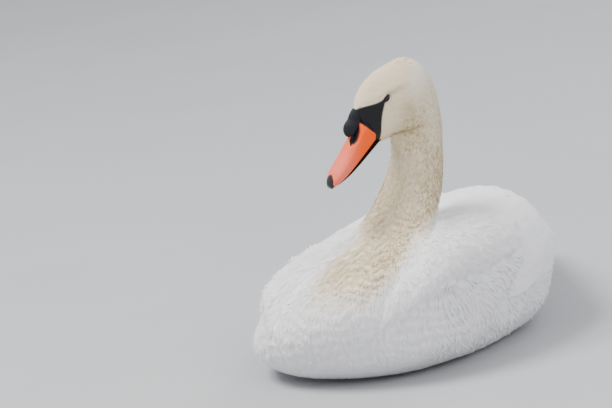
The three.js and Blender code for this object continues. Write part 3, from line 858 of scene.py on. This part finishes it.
class Roots:
    """Places on the skin where feathers grow, with the skin's values there."""

    CROWD = 5.0  # places tried for each that its spacing has room for

    def __init__(self, skin, tris, flat, where, spacing, rng):
        """where is each vertex's chance from 0 to 1, and spacing its distance between roots, in metres."""
        a, b, c = skin.at[tris[:, 0]], skin.at[tris[:, 1]], skin.at[tris[:, 2]]
        area = np.linalg.norm(np.cross(b - a, c - a), axis=1) / 2
        chance = where[tris].mean(1)
        gap = spacing[tris].mean(1)
        expected = area * (chance > 0.02) * self.CROWD / gap ** 2
        picks = rng.choice(len(tris), int(expected.sum()), p=expected / expected.sum())
        u, v = rng.random((2, len(picks)))
        over = u + v > 1
        u[over], v[over] = 1 - u[over], 1 - v[over]
        bary = np.stack([1 - u - v, u, v], 1)
        at = (skin.at[tris[picks]] * bary[..., None]).sum(1)
        chance = (where[tris[picks]] * bary).sum(1)
        gap = (spacing[tris[picks]] * bary).sum(1)
        keep = thinned(at, gap, rng) & (rng.random(len(at)) < chance)
        self.pick, self.bary = picks[keep], bary[keep]
        self.corner = tris[self.pick]
        self.at = at[keep]
        self.normal = unit(self.value(skin.soft_normal))
        flow = self.value(skin.flow)
        self.flow = unit(flow - (flow * self.normal).sum(1, keepdims=True) * self.normal)
        self.flat = (flat[self.pick] * self.bary[..., None]).sum(1)
        self.marks = {key: self.value(held) for key, held in skin.marks.items()}
        self.count = len(self.at)

    def value(self, held):
        weights = self.bary if held.ndim == 1 else self.bary[..., None]
        return (held[self.corner] * weights).sum(1)


def thinned(points, gaps, rng):
    """Which points to keep so that none is nearer to another than its gap."""
    tree = point_tree(points)
    alive = np.ones(len(points), bool)
    keep = np.zeros(len(points), bool)
    for i in rng.permutation(len(points)):
        if alive[i]:
            keep[i] = True
            for _, j, _ in tree.find_range(points[i], gaps[i]):
                alive[j] = False
    return keep


def blade_pattern(stations):
    """A slender tuft: pairs of points along it that close to one tip, as shares along and across."""
    along = np.linspace(0, 1, stations + 1)
    width = np.sqrt(np.clip(1 - along ** 2.2, 0, 1))
    width[0] = 0.75
    points = [(t, side * w) for t, w in zip(along[:-1], width[:-1]) for side in (-1, 1)] + [(1.0, 0.0)]
    faces = [(2 * i, 2 * i + 2, 2 * i + 3, 2 * i + 1) for i in range(stations - 1)]
    faces.append((2 * stations - 2, 2 * stations, 2 * stations - 1))
    return np.array(points), faces


def vane_pattern(stations, columns, square):
    """A broad feather: a grid with a round tip, as shares along and across."""
    along = np.linspace(0, 1, stations)
    across = np.linspace(-1, 1, columns)
    points = []
    for t in along:
        width = 0.45 + 0.55 * smooth_step(np.array(t), 0, 0.45)
        for v in across:
            reach = 1 - 0.34 * abs(v) ** square  # the tip is round
            points.append((t * reach, v * float(width) * (1 - 0.25 * smooth_step(np.array(t), 0.75, 1))))
    return np.array(points), grid_faces(stations, columns)


UV_PATCH = 0.003  # the side of each feather's patch on the map
ARCH = CUP = 0.12  # how much a feather bends along itself, and across


def feathers(name, skin, roots, pattern, length, width, lift, material, rng, *, hug=False, ragged=0.0,
             turn=8.0, blend=0.6, root_lift=0.0):
    """One piece of coat: a copy of the pattern at every root.

    length and width are each root's, in metres. lift is how far the tip stands over the root, and hug
    carries every point onto the skin's own curve at its height.
    """
    shape, faces = pattern
    n, k = roots.count, len(shape)
    angle = np.radians(turn) * rng.standard_normal(n)
    across = np.cross(roots.normal, roots.flow)
    flow = unit(roots.flow * np.cos(angle)[:, None] + across * np.sin(angle)[:, None])
    across = np.cross(roots.normal, flow)
    t, v = shape[:, 0][None], shape[:, 1][None]
    reach = t * length[:, None]
    if ragged:
        reach = reach * (1 + ragged * rng.standard_normal((n, k)) * (t > 0.7))
    height = (root_lift + lift[:, None] * (t + ARCH * np.sin(math.pi * t))
              - CUP * width[:, None] * v ** 2 * (0.4 + 0.6 * t))
    side = 0.5 * width[:, None] * v
    if hug:
        flatpoint = roots.at[:, None] + flow[:, None] * reach[..., None] + across[:, None] * side[..., None]
        at, normal, _ = nearest(skin.tree, flatpoint.reshape(-1, 3))
        base = at.reshape(n, k, 3)
        normal = unit(0.5 * normal.reshape(n, k, 3) + 0.5 * roots.normal[:, None])
        points = base + normal * height[..., None]
    else:
        normal = np.broadcast_to(roots.normal[:, None], (n, k, 3))
        points = (roots.at[:, None] + flow[:, None] * reach[..., None] + across[:, None] * side[..., None]
                  + normal * height[..., None])
    points[..., 2] = np.maximum(points[..., 2], COAT_OFF_FLOOR)
    all_faces = [[i * k + v for v in face] for i in range(n) for face in faces]
    made = new_object(name, points.reshape(-1, 3), all_faces, material)
    mesh = made.data
    tone = np.repeat(rng.random(n), k)
    set_values(mesh, tone=tone, along=np.tile(shape[:, 0], n),
               **{key: np.repeat(value, k) for key, value in roots.marks.items()})
    flat = roots.flat[:, None] + UV_PATCH * (np.stack([shape[:, 1] * 0.5, shape[:, 0] - 0.5], -1))[None]
    write_flat(mesh, flat.reshape(-1, 2))
    shown = unit(blend * normal.reshape(-1, 3) + (1 - blend) * normals_of(mesh))
    mesh.normals_split_custom_set_from_vertices(shown.tolist())
    return made


def write_flat(mesh, flat):
    """Writes the map that holds each feather as a small patch at its root's place."""
    layer = mesh.uv_layers.new(name="OFBake")
    layer.data.foreach_set("uv", flat[corners_of(mesh)].astype(np.float32).ravel())


def finish_piece(made, slot, *replaced):
    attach(made, ROOT)
    if replaced:
        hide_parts(*replaced)


STRAY_AT = (154.0, 36.0, 185.0)  # a few ruffled feathers on the left wing


def coat(skin, material):
    rng = np.random.default_rng(SEED)
    corners, flat = unwrapped(skin)
    s = skin.share
    bare = 1 - smooth_step(skin.marks["black"], 0.3, 0.6)
    y, z = skin.at[:, 1] / MM - PLACE[1], skin.at[:, 2] / MM
    made = []

    def roots(where, spacing_mm):
        spacing = np.broadcast_to(np.asarray(spacing_mm, float) * MM, len(skin.at))
        return Roots(skin, corners, flat, where * bare, spacing, rng)

    def spread(count, low, high):
        return (low + (high - low) * rng.random(count)) * MM

    def tufts(name, where, spacing_mm, long, wide, lift, scale=None, stations=2, **more):
        r = roots(where, spacing_mm)
        size = 1 if scale is None else r.value(scale)
        made.append(feathers(name, skin, r, blade_pattern(stations), spread(r.count, *long) * size,
                             spread(r.count, *wide) * size, spread(r.count, *lift) * size, material, rng,
                             **more))

    def vanes(name, where, spacing_mm, long, wide, lift, scale=None, grid=(6, 5), **more):
        r = roots(where, spacing_mm)
        size = 1 if scale is None else r.value(scale)
        made.append(feathers(name, skin, r, vane_pattern(*grid, 2.2), spread(r.count, *long) * size,
                             spread(r.count, *wide) * size, spread(r.count, *lift), material, rng,
                             hug=True, blend=0.8, **more))

    # Head: velvet of the smallest tufts, shorter towards the bill, with a few ruffled on the crown.
    head = to_head(skin.at)
    face = smooth_step(head[:, 0], -5, 35)
    tufts("coat_head", s[:, HEAD], 1.05 - 0.2 * face, (3.0, 4.6), (0.9, 1.35), (0.5, 0.9),
          scale=1 - 0.45 * face, turn=14, blend=0.92)
    crown = bump_at(head[:, 0], head[:, 2], (-43, 19), (9, 8)) * smooth_step(head[:, 1], -14, -4)
    tufts("coat_crown", crown * 1.2 - 0.15, 2.6, (5, 8), (1.2, 1.8), (1.8, 3.6), stations=3, turn=26)
    # Neck and bib: short soft tufts that part at their tips, longer down the neck.
    bib = np.clip(s[:, TRUNK] * 1.3 * skin.marks["cream"], 0, 1)
    tufts("coat_neck", s[:, NECK_UPPER], 1.3, (4.5, 7.0), (1.3, 2.0), (0.9, 1.6), turn=15, blend=0.6)
    tufts("coat_neck_lower", s[:, NECK_LOWER], 1.5, (5.5, 8.5), (1.6, 2.4), (1.2, 2.1), turn=17, blend=0.6)
    tufts("coat_bib", bib, 1.7, (4, 6.5), (1.5, 2.3), (1.0, 1.8), stations=3, turn=18, blend=0.5)
    # Long feathers of wings and tail, and where they cover the skin.
    wing_rows = PRIMARIES + SECONDARIES + TERTIALS + GREATER_COVERTS
    long_ones = [quills(name, side, skin, corners, flat, material, rng, rows, aim)
                 for name, side, rows, aim in (("coat_quills_left", 1, wing_rows, over_wing),
                                               ("coat_quills_right", -1, wing_rows, over_wing),
                                               ("coat_rectrices", 1, TAIL_FEATHERS, over_tail),
                                               ("coat_rectrices_right", -1, TAIL_FEATHERS, over_tail))]
    made += long_ones
    open_skin = 1 - covered(skin, long_ones)
    # Body: broad vanes laid close, with finer loose barbs over them.
    front = smooth_step(-y, 70, 130) * s[:, TRUNK]
    vanes("coat_breast", front * (1 - 0.8 * skin.marks["cream"]), 5.5, (14, 19), (9, 12), (1.0, 1.5),
          grid=(5, 5), ragged=0.05, turn=9)
    rest = (s[:, TRUNK] + s[:, TAIL] * 0.6) * (1 - front) * smooth_step(z, 3, 10) * open_skin
    vanes("coat_trunk", rest, 9.0, (28, 38), (17, 22), (1.3, 1.9), ragged=0.05, turn=10)
    back = smooth_step(y, -175, 125)
    for name, region in (("coat_wing_left", WING_LEFT), ("coat_wing_right", WING_RIGHT)):
        vanes(name, s[:, region] * open_skin, 8.0 + 6.0 * back, (26, 32), (16, 20), (1.3, 1.8),
              scale=1 + 0.8 * back, grid=(7, 5), ragged=0.02, turn=5)
    shoulders = (smooth_step(z, 145, 162) * smooth_step(y, -66, -30) * (1 - smooth_step(y, 60, 120))
                 * (s[:, TRUNK] + s[:, WING_LEFT] + s[:, WING_RIGHT]))
    near_neck = averaged(s[:, NECK_UPPER] + s[:, NECK_LOWER], skin.edges, 60)
    shoulders = shoulders * (1 - smooth_step(near_neck, 0, 0.02))
    vanes("coat_scapulars", shoulders, 13, (44, 58), (26, 34), (3.2, 4.4), grid=(8, 7), turn=8,
          root_lift=0.3 * MM)
    vanes("coat_tail", s[:, TAIL], 7, (22, 30), (12, 16), (1.0, 1.6), ragged=0.02, turn=6)
    body = open_skin * (1 - s[:, TAIL] - s[:, HEAD] - s[:, NECK_UPPER] - s[:, NECK_LOWER])
    body = body * (1 - 0.7 * bib) * smooth_step(z, 4, 12)
    ahead = 1 - smooth_step(y, -40, 0)
    for name, half in (("coat_down_front", ahead), ("coat_down_back", 1 - ahead)):
        tufts(name, body * half, 2.5 + 1.2 * (1 - ahead), (6, 10), (1.0, 1.6), (0.7, 1.2),
              scale=1 + 0.5 * (1 - ahead), turn=10, blend=0.9, root_lift=0.9 * MM)
    loose = skin.loose * smooth_step(z, 12, 30)
    tufts("coat_flank", loose, 3.0, (10, 16), (1.8, 2.8), (1.8, 3.4), stations=3, turn=18, blend=0.8,
          root_lift=0.5 * MM)
    stray = np.linalg.norm(skin.at - (STRAY_AT + PLACE) * MM, axis=1)
    stray = np.exp(-((stray - stray.min()) / (7 * MM)) ** 2)
    tufts("coat_stray", stray * 1.2 - 0.1, 3.2, (7, 11), (1.6, 2.4), (3.5, 6.5), stations=3, turn=35)
    for piece in made:
        finish_piece(piece, "white_plumage")


# Long feathers as [root y, root angle, tip y, tip angle, width, height over the skin]: y in the tables'
# millimetres, and degrees round from the top of the back towards the side. Each lies like a shingle,
# with its inner edge under the next.
WING_MIDDLE = (30.0, 88.0)
PRIMARIES = [[150 + 6 * i, 72 - 7 * i, 318 + 13 * i, 62 - 8 * i, 17, 2.4] for i in range(6)]
SECONDARIES = [[-40 + 10 * i, 92 - 6.5 * i, 170 + 15 * i, 84 - 6.5 * i, 30, 3.1] for i in range(9)]
TERTIALS = [[30 + 4 * i, 34 - 6.5 * i, 268 - 14 * i, 30 - 7 * i, 34, 3.2 - 0.4 * i] for i in range(5)]
GREATER_COVERTS = [[-74 + 9 * i, 95 - 6.2 * i, 12 + 11 * i, 90 - 6.2 * i, 27, 4.5 - 0.28 * i]
                   for i in range(10)]
# Tail feathers have their distance from the midline in place of the angle.
TAIL_FEATHERS = [[300, 24 - 4.4 * i, 386 + 8 * i, 21 - 3.8 * i, 20, 1.3 + 0.2 * i] for i in range(6)]
TAIL_TOP = ((270, 315, 355, 390, 418, 432), (103, 87, 70, 56, 44.5, 39))  # y and the height of its top
FAR_OUT = 260 * MM  # how far from the wing's middle the rays that lay its long feathers start
OFF_TAIL = 4 * MM  # a tail feather's point that is farther than this from the skin isn't drawn onto it
SHINGLE = 0.045  # how far a long feather's outer edge is raised and its inner one lowered, by its width


def over_wing(side, y, turn):
    """Where a ray that lays a feather on the wing starts, and its way."""
    out = np.array([side * math.sin(math.radians(turn)), 0, math.cos(math.radians(turn))])
    return posed(side * WING_MIDDLE[0], y, WING_MIDDLE[1]) + FAR_OUT * out, -out


def over_tail(side, y, x):
    """A place on the top of the tail, from the table of its heights, and no ray."""
    return posed(side * x - 0.12 * (y - 290), y, np.interp(y, *TAIL_TOP)), None


def covered(skin, pieces, far=9.0, near=2.5):
    """Which places of the skin lie well under the long feathers."""
    above = [BVHTree.FromPolygons([v.co[:] for v in piece.data.vertices],
                                  [tuple(p.vertices) for p in piece.data.polygons]) for piece in pieces]
    hidden = np.zeros(len(skin.at))
    for i, (place, normal) in enumerate(zip(skin.at, skin.normal)):
        for tree in above:
            hit = tree.ray_cast(Vector(place), Vector(normal), far * MM)
            if hit[0] is not None and hit[3] > near * MM:
                hidden[i] = 1.0
                break
    return hidden


def quills(name, side, skin, corners, flat, material, rng, rows_of, aim, stations=13, columns=7):
    """Long feathers, each laid over the skin from its root to its tip."""
    along = 1 - (1 - np.linspace(0, 1, stations)) ** 1.35  # closer together towards the tip
    across = np.linspace(-1, 1, columns)
    uv_at = np.zeros((len(skin.at), 2))
    uv_at[corners.ravel()] = flat.reshape(-1, 2)
    links = np.array([(i, i + 1) for i in range(stations - 1)])
    points, faces, uv, rows = [], [], [], []
    for y0, turn0, y1, turn1, width, height in rows_of:
        turn1, y1 = turn1 + rng.normal() * 0.7, y1 + rng.normal() * 2
        middle, normal = [], []
        for t in along:
            start, inward = aim(side, y0 + (y1 - y0) * t, turn0 + (turn1 - turn0) * t)
            if inward is None:
                middle.append(start)
                normal.append(unit(np.array([0, 0.35, 1.0])))
                continue
            hit = skin.tree.ray_cast(Vector(start), Vector(inward))
            if hit[0] is None and len(middle) < 2:
                hit = skin.tree.find_nearest(Vector(start))
            middle.append(np.array(hit[0]) if hit[0] else middle[-1] + (middle[-1] - middle[-2]))
            normal.append(np.array(hit[1]) if hit[0] else normal[-1])
        line = averaged(np.array(middle), links, 2)
        facing = unit(averaged(np.array(normal), links, 6))
        ahead = unit(np.gradient(line, axis=0))
        sideways = unit(np.cross(facing, ahead))
        first = len(points)
        near = nearest_vertices(skin.at, line[:1])[0]
        for k, t in enumerate(along):
            full = 0.4 + 0.6 * smooth_step(np.array(t), 0, 0.3)
            full = full * math.sqrt(max(0.0, 1 - max(0.0, (t - 0.8) / 0.2) ** 2.2)) + 0.02
            for v in across:
                flat_place = line[k] + sideways[k] * (v * width / 2 * MM * full)
                held = skin.tree.find_nearest(Vector(flat_place))
                if aim is over_tail and held[3] > OFF_TAIL:
                    held = (flat_place, facing[k])
                ridge = 0.5 * math.exp(-(v / 0.12) ** 2)  # the shaft
                rise = (height - side * v * width * SHINGLE) * smooth_step(np.array(t), -0.02, 0.35)
                rise += ridge - 0.8 * v * v - 0.6
                points.append(np.array(held[0]) + unit(np.array(held[1]) + facing[k]) * (rise * MM))
                uv.append(uv_at[near] + UV_PATCH * np.array([v / 2, t - 0.5]))
                rows.append(t)
        faces += grid_faces(stations, columns, first)
    made = new_object(name, points, faces, material)
    set_values(made.data, tone=0.4, along=np.array(rows), warm=0.1, cream=0.0, fleck=0.0, olive=0.0,
               black=0.0)
    write_flat(made.data, np.array(uv))
    return made


# ---------------------------------------------------------------------------------------------
# Head details.


def ball(name, centre, axis, up, radius, material, rings=28, sides=40):
    """An eyeball whose front swells a little, with its share out from the middle of the front."""
    axis = unit(np.array(axis))
    across = unit(np.cross(up, axis))
    upward = np.cross(axis, across)
    points = []
    for i in range(rings + 1):
        polar = math.pi * i / rings
        for j in range(sides):
            turn = 2 * math.pi * j / sides
            swell = 1 + 0.02 * math.exp(-(polar / 0.5) ** 2)
            points.append(np.array(centre) + radius * swell * (
                math.cos(polar) * axis
                + math.sin(polar) * (math.cos(turn) * across + math.sin(turn) * upward)))
    made = new_object(name, points, grid_faces(rings + 1, sides, closed=True), material)
    weld(made.data)
    set_values(made.data, rim=np.clip(np.array([1.25 * np.linalg.norm(np.cross(axis, unit(p - centre)))
                                                if np.dot(axis, p - centre) > 0 else 1.0
                                                for p in places_of(made.data)]), 0, 1))
    return made


def weld(mesh, gap=1e-6):
    bm = bmesh.new()
    bm.from_mesh(mesh)
    bmesh.ops.remove_doubles(bm, verts=bm.verts, dist=gap)
    bmesh.ops.recalc_face_normals(bm, faces=bm.faces)
    bm.to_mesh(mesh)
    bm.free()


# The slit between the lids, how far they reach and how far over the ball: millimetres, and degrees of tilt.
LID = {"half_length": 4.7, "upper": 1.25, "lower": 1.6, "tilt": -9.0, "reach": 6.9, "cover": 0.35}


def eye_axes(side):
    """The middle of an eye and its forward, outward and upward directions."""
    centre = in_head(EYE["forward"], side * EYE["side"], EYE["up"])
    forward, outward, upward = (
        unit(in_head(EYE["forward"] + f, side * (EYE["side"] + o), EYE["up"] + u) - centre)
        for f, o, u in ((1, 0, 0), (0, 1, 0), (0, 0, 1)))
    outward = unit(outward + 0.1 * forward + 0.06 * upward)
    forward = unit(forward - (forward @ outward) * outward)
    upward = upward - (upward @ outward) * outward
    return centre, forward, outward, unit(upward - (upward @ forward) * forward)


def lids(name, side, skin, material, steps=72, rings=14):
    """Upper and lower lid as one ring that rises from the skin and closes over the ball to a slit."""
    centre, forward, outward, upward = eye_axes(side)
    tilt = math.radians(LID["tilt"])
    points, ring_share, below = [], [], []

    def skin_height(flat):
        start = centre + MM * (flat[0] * forward + flat[1] * upward + 30 * outward)
        hit = skin.over_eyes.ray_cast(Vector(start), Vector(-outward), 40 * MM)
        return 30 - hit[3] / MM if hit[0] else 0.0

    for k in range(rings):
        t = k / (rings - 1)
        for j in range(steps):
            a = 2 * math.pi * j / steps
            half = LID["upper"] if math.sin(a) > 0 else LID["lower"]
            inner = np.array([LID["half_length"] * math.cos(a),
                              half * math.sin(a) * abs(math.sin(a)) ** 0.4])
            outer = LID["reach"] * np.array([math.cos(a), 0.86 * math.sin(a)])
            flat = inner + (outer - inner) * t
            flat = np.array([flat[0] * math.cos(tilt) - flat[1] * math.sin(tilt),
                             flat[0] * math.sin(tilt) + flat[1] * math.cos(tilt)])
            reach = np.linalg.norm(flat)
            over = math.sqrt(max((EYE["radius"] + LID["cover"]) ** 2 - reach ** 2, 0.5))
            rim = 0.35 * math.exp(-((t - 0.12) / 0.09) ** 2) - 0.15 * math.exp(-((t - 0.4) / 0.1) ** 2)
            onto = smooth_step(np.array(reach), 3.2, 6.0)
            height = (1 - onto) * (over + rim) + onto * (skin_height(flat) + 0.5 * (1 - t))
            height = max(height, over - 0.1) - 1.3 * t ** 8
            points.append(centre + MM * (flat[0] * forward + flat[1] * upward + height * outward))
            ring_share.append(t)
            below.append(max(0.0, -math.sin(a)))
    made = new_object(name, points, grid_faces(rings, steps, closed=True), material)
    around = made.data.polygons[steps * 3].normal
    if np.dot(around, outward) < 0:
        made.data.flip_normals()
    share, below = np.array(ring_share), np.array(below)
    places = np.array(points)
    black = smooth_step(skin.lores_at(places), -0.5, 0.5) * (1 - below * (share > 0.1))
    # The upper lid is black over most of its width: bare black skin by the slit, and painted shade further
    # out, where no tufts lie to shade it.
    black = np.maximum(black, (1 - smooth_step(share, 0.65, 0.95)) * (1 - np.sqrt(below)))
    black = np.maximum(black, 1 - smooth_step(share, 0.04, 0.1))
    near = nearest_vertices(skin.at, places)
    set_values(made.data, cream=skin.marks["cream"][near], fleck=0.0, warm=skin.marks["warm"][near],
               olive=skin.marks["olive"][near], tone=0.3, black=black,
               rim=below ** 0.5 * np.exp(-((share - 0.17) / 0.09) ** 2))
    thick = made.modifiers.new("thick", "SOLIDIFY")
    thick.thickness, thick.offset = 0.5 * MM, -1.0
    mesh = evaluated(made)
    made.modifiers.clear()
    made.data = mesh
    return made


def refined(name, voxel, material, soft=0, shaped=None, onto=None, flare=0.0):
    """A finer, rounder copy of one solid, which can spread out where it meets the surface it stands on."""
    mesh = remeshed(name + "_fine", *joined_copy((name,), 0.0), voxel)
    edges = edges_of(mesh)
    move_to(mesh, averaged(rounded(places_of(mesh), edges, 6), edges, soft))
    if shaped:
        move_to(mesh, in_head(*shaped(*to_head(places_of(mesh)).T)))
    if onto:
        _, _, gap = nearest(onto, places_of(mesh))
        spread = np.clip(1 - gap / (2.2 * flare), 0, 1) ** 2 * flare
        move_to(mesh, averaged(places_of(mesh) + normals_of(mesh) * spread[:, None], edges, 3))
    return dressed(name + "_fine", mesh, material)


BILL_BACK = curve_through([[-36, 56], [-27, 48], [-20, 45.3], [-10.8, 47.6], [-4.9, 48.6], [0.6, 49.8],
                           [8, 51]])
MOUTH_LINE = curve_through([[37, -31], [60, -32.5], [92, -34.8], [110, -35.4], [122, -35.6]])
NOSTRIL_SLOT = [(52.5, 5.2), (60.5, -1.3), (69.5, -6.2), (77, -8.6)]
NOSTRIL_WIDTH = curve_through([[0, 2.2], [0.35, 2.9], [0.6, 3.2], [0.85, 2.4], [1, 0.9]])


def slot_share(points):
    """1 in the long nostrils of the bill and 0 outside them."""
    forward, left, up = to_head(points).T
    gap, along, _ = line_gap(np.stack([forward, up], -1), NOSTRIL_SLOT)
    return (1 - smooth_step(gap - NOSTRIL_WIDTH(along), -0.5, 0.4)) * (np.abs(left) > 3.5)


def bill_marks(points):
    """Black skin behind the horn and along the mouth, black painted shade in the nostrils, and how pale the
    horn is.
    """
    forward, _, up = to_head(points).T
    back = 1 - smooth_step(forward - BILL_BACK(up), -0.5, 0.4)
    edge = 1 - smooth_step(up - MOUTH_LINE(forward), 0.9, 1.9)
    # The nostrils are painted black: painted shade of the hollow inside them.
    slot = slot_share(points)
    pale = smooth_step(forward + 0.9 * (up + 20), 62, 112)
    return {"black": np.clip(np.maximum(np.maximum(back, edge), slot), 0, 1), "pale": pale}


def hollow_nostrils(mesh):
    """Sinks the nostrils' slots into the horn."""
    at = places_of(mesh)
    forward, left, up = to_head(at).T
    move_to(mesh, in_head(forward, left - np.sign(left) * 4.0 * slot_share(at), up))


# ---------------------------------------------------------------------------------------------
# The studio, and the whole bird.

BALL_SHARE = 0.96  # the eyeball's radius as a share of the solid eye's
HORN_VOXEL, NAIL_VOXEL = 0.8 * MM, 0.6 * MM  # the fineness of the bill's copies
FLOOR_REACH = 14.0


def make_stage():
    s = Shade("floor_paint")
    grain = s.noise(3, 2)
    paint = s.finish(Base_Color=s.mix(grain, srgb(176, 178, 180), srgb(184, 186, 188)), Roughness=0.8,
                     Specular_IOR_Level=0.2)
    corners = [(x * FLOOR_REACH, y * FLOOR_REACH, 0) for x, y in ((-1, -1), (1, -1), (1, 1), (-1, 1))]
    floor = new_object("floor", corners, [[0, 1, 2, 3]], paint, smooth=False)
    world = bpy.data.worlds.new("studio")
    bpy.context.scene.world = world
    world.use_nodes = True
    world.node_tree.nodes["Background"].inputs["Color"].default_value = (0.93, 0.95, 1.0, 1)
    world.node_tree.nodes["Background"].inputs["Strength"].default_value = 0.9
    for light in LIGHTS:
        area_light(*light)


def main():
    make_camera()
    make_stage()
    coat_finish = plumage("white_feathers", 0.12)
    skin = Skin()
    body = skin.build(coat_finish)
    finish_piece(body, "white_plumage", *FLESH)
    coat(skin, coat_finish)
    for side, name in ((1, "left"), (-1, "right")):
        centre, _, outward, _ = eye_axes(side)
        eye = ball("eye_ball_" + name, centre, outward, (0, 0, 1), EYE["radius"] * BALL_SHARE * MM,
                   eyeball("wet_eye_" + name))
        finish_piece(eye, "eye", "eye_" + name)
        finish_piece(lids("lids_" + name, side, skin, coat_finish), "white_plumage")
    upper = refined("bill_upper", HORN_VOXEL, horn("orange_horn"))
    set_values(upper.data, **bill_marks(places_of(upper.data)))
    hollow_nostrils(upper.data)
    finish_piece(upper, "orange_bill", "bill_upper")
    lower = refined("bill_lower", HORN_VOXEL, black_horn("lower_bill_horn", BLACK_SKIN_AND_SHADE, 0.5),
                    shaped=lambda forward, left, up: (forward, left, MOUTH_LINE(forward) - 0.35 * (
                        MOUTH_LINE(forward) - up)))
    finish_piece(lower, "black_skin", "bill_lower")
    knob = refined("bill_knob", HORN_VOXEL, black_horn("knob_skin", KNOB_GREY, 0.55), soft=14,
                   shaped=lambda forward, left, up: (forward + 2.5 * smooth_step(forward, 48, 60),
                                                     0.68 * left, up),
                   onto=skin.tree, flare=1.8 * MM)
    finish_piece(knob, "black_skin", "bill_knob")
    nail = refined("bill_nail", NAIL_VOXEL, black_horn("nail_horn", (0.014, 0.013, 0.013), 0.3))
    finish_piece(nail, "black_skin", "bill_nail")
    feet = scaled_skin("web_skin")
    claws = black_horn("claw_horn", (0.012, 0.011, 0.010), 0.3)
    for name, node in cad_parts.items():
        if name.startswith(("leg_", "foot_", "claw_")):
            node.data.materials.clear()
            node.data.materials.append(claws if name.startswith("claw_") else feet)


main()
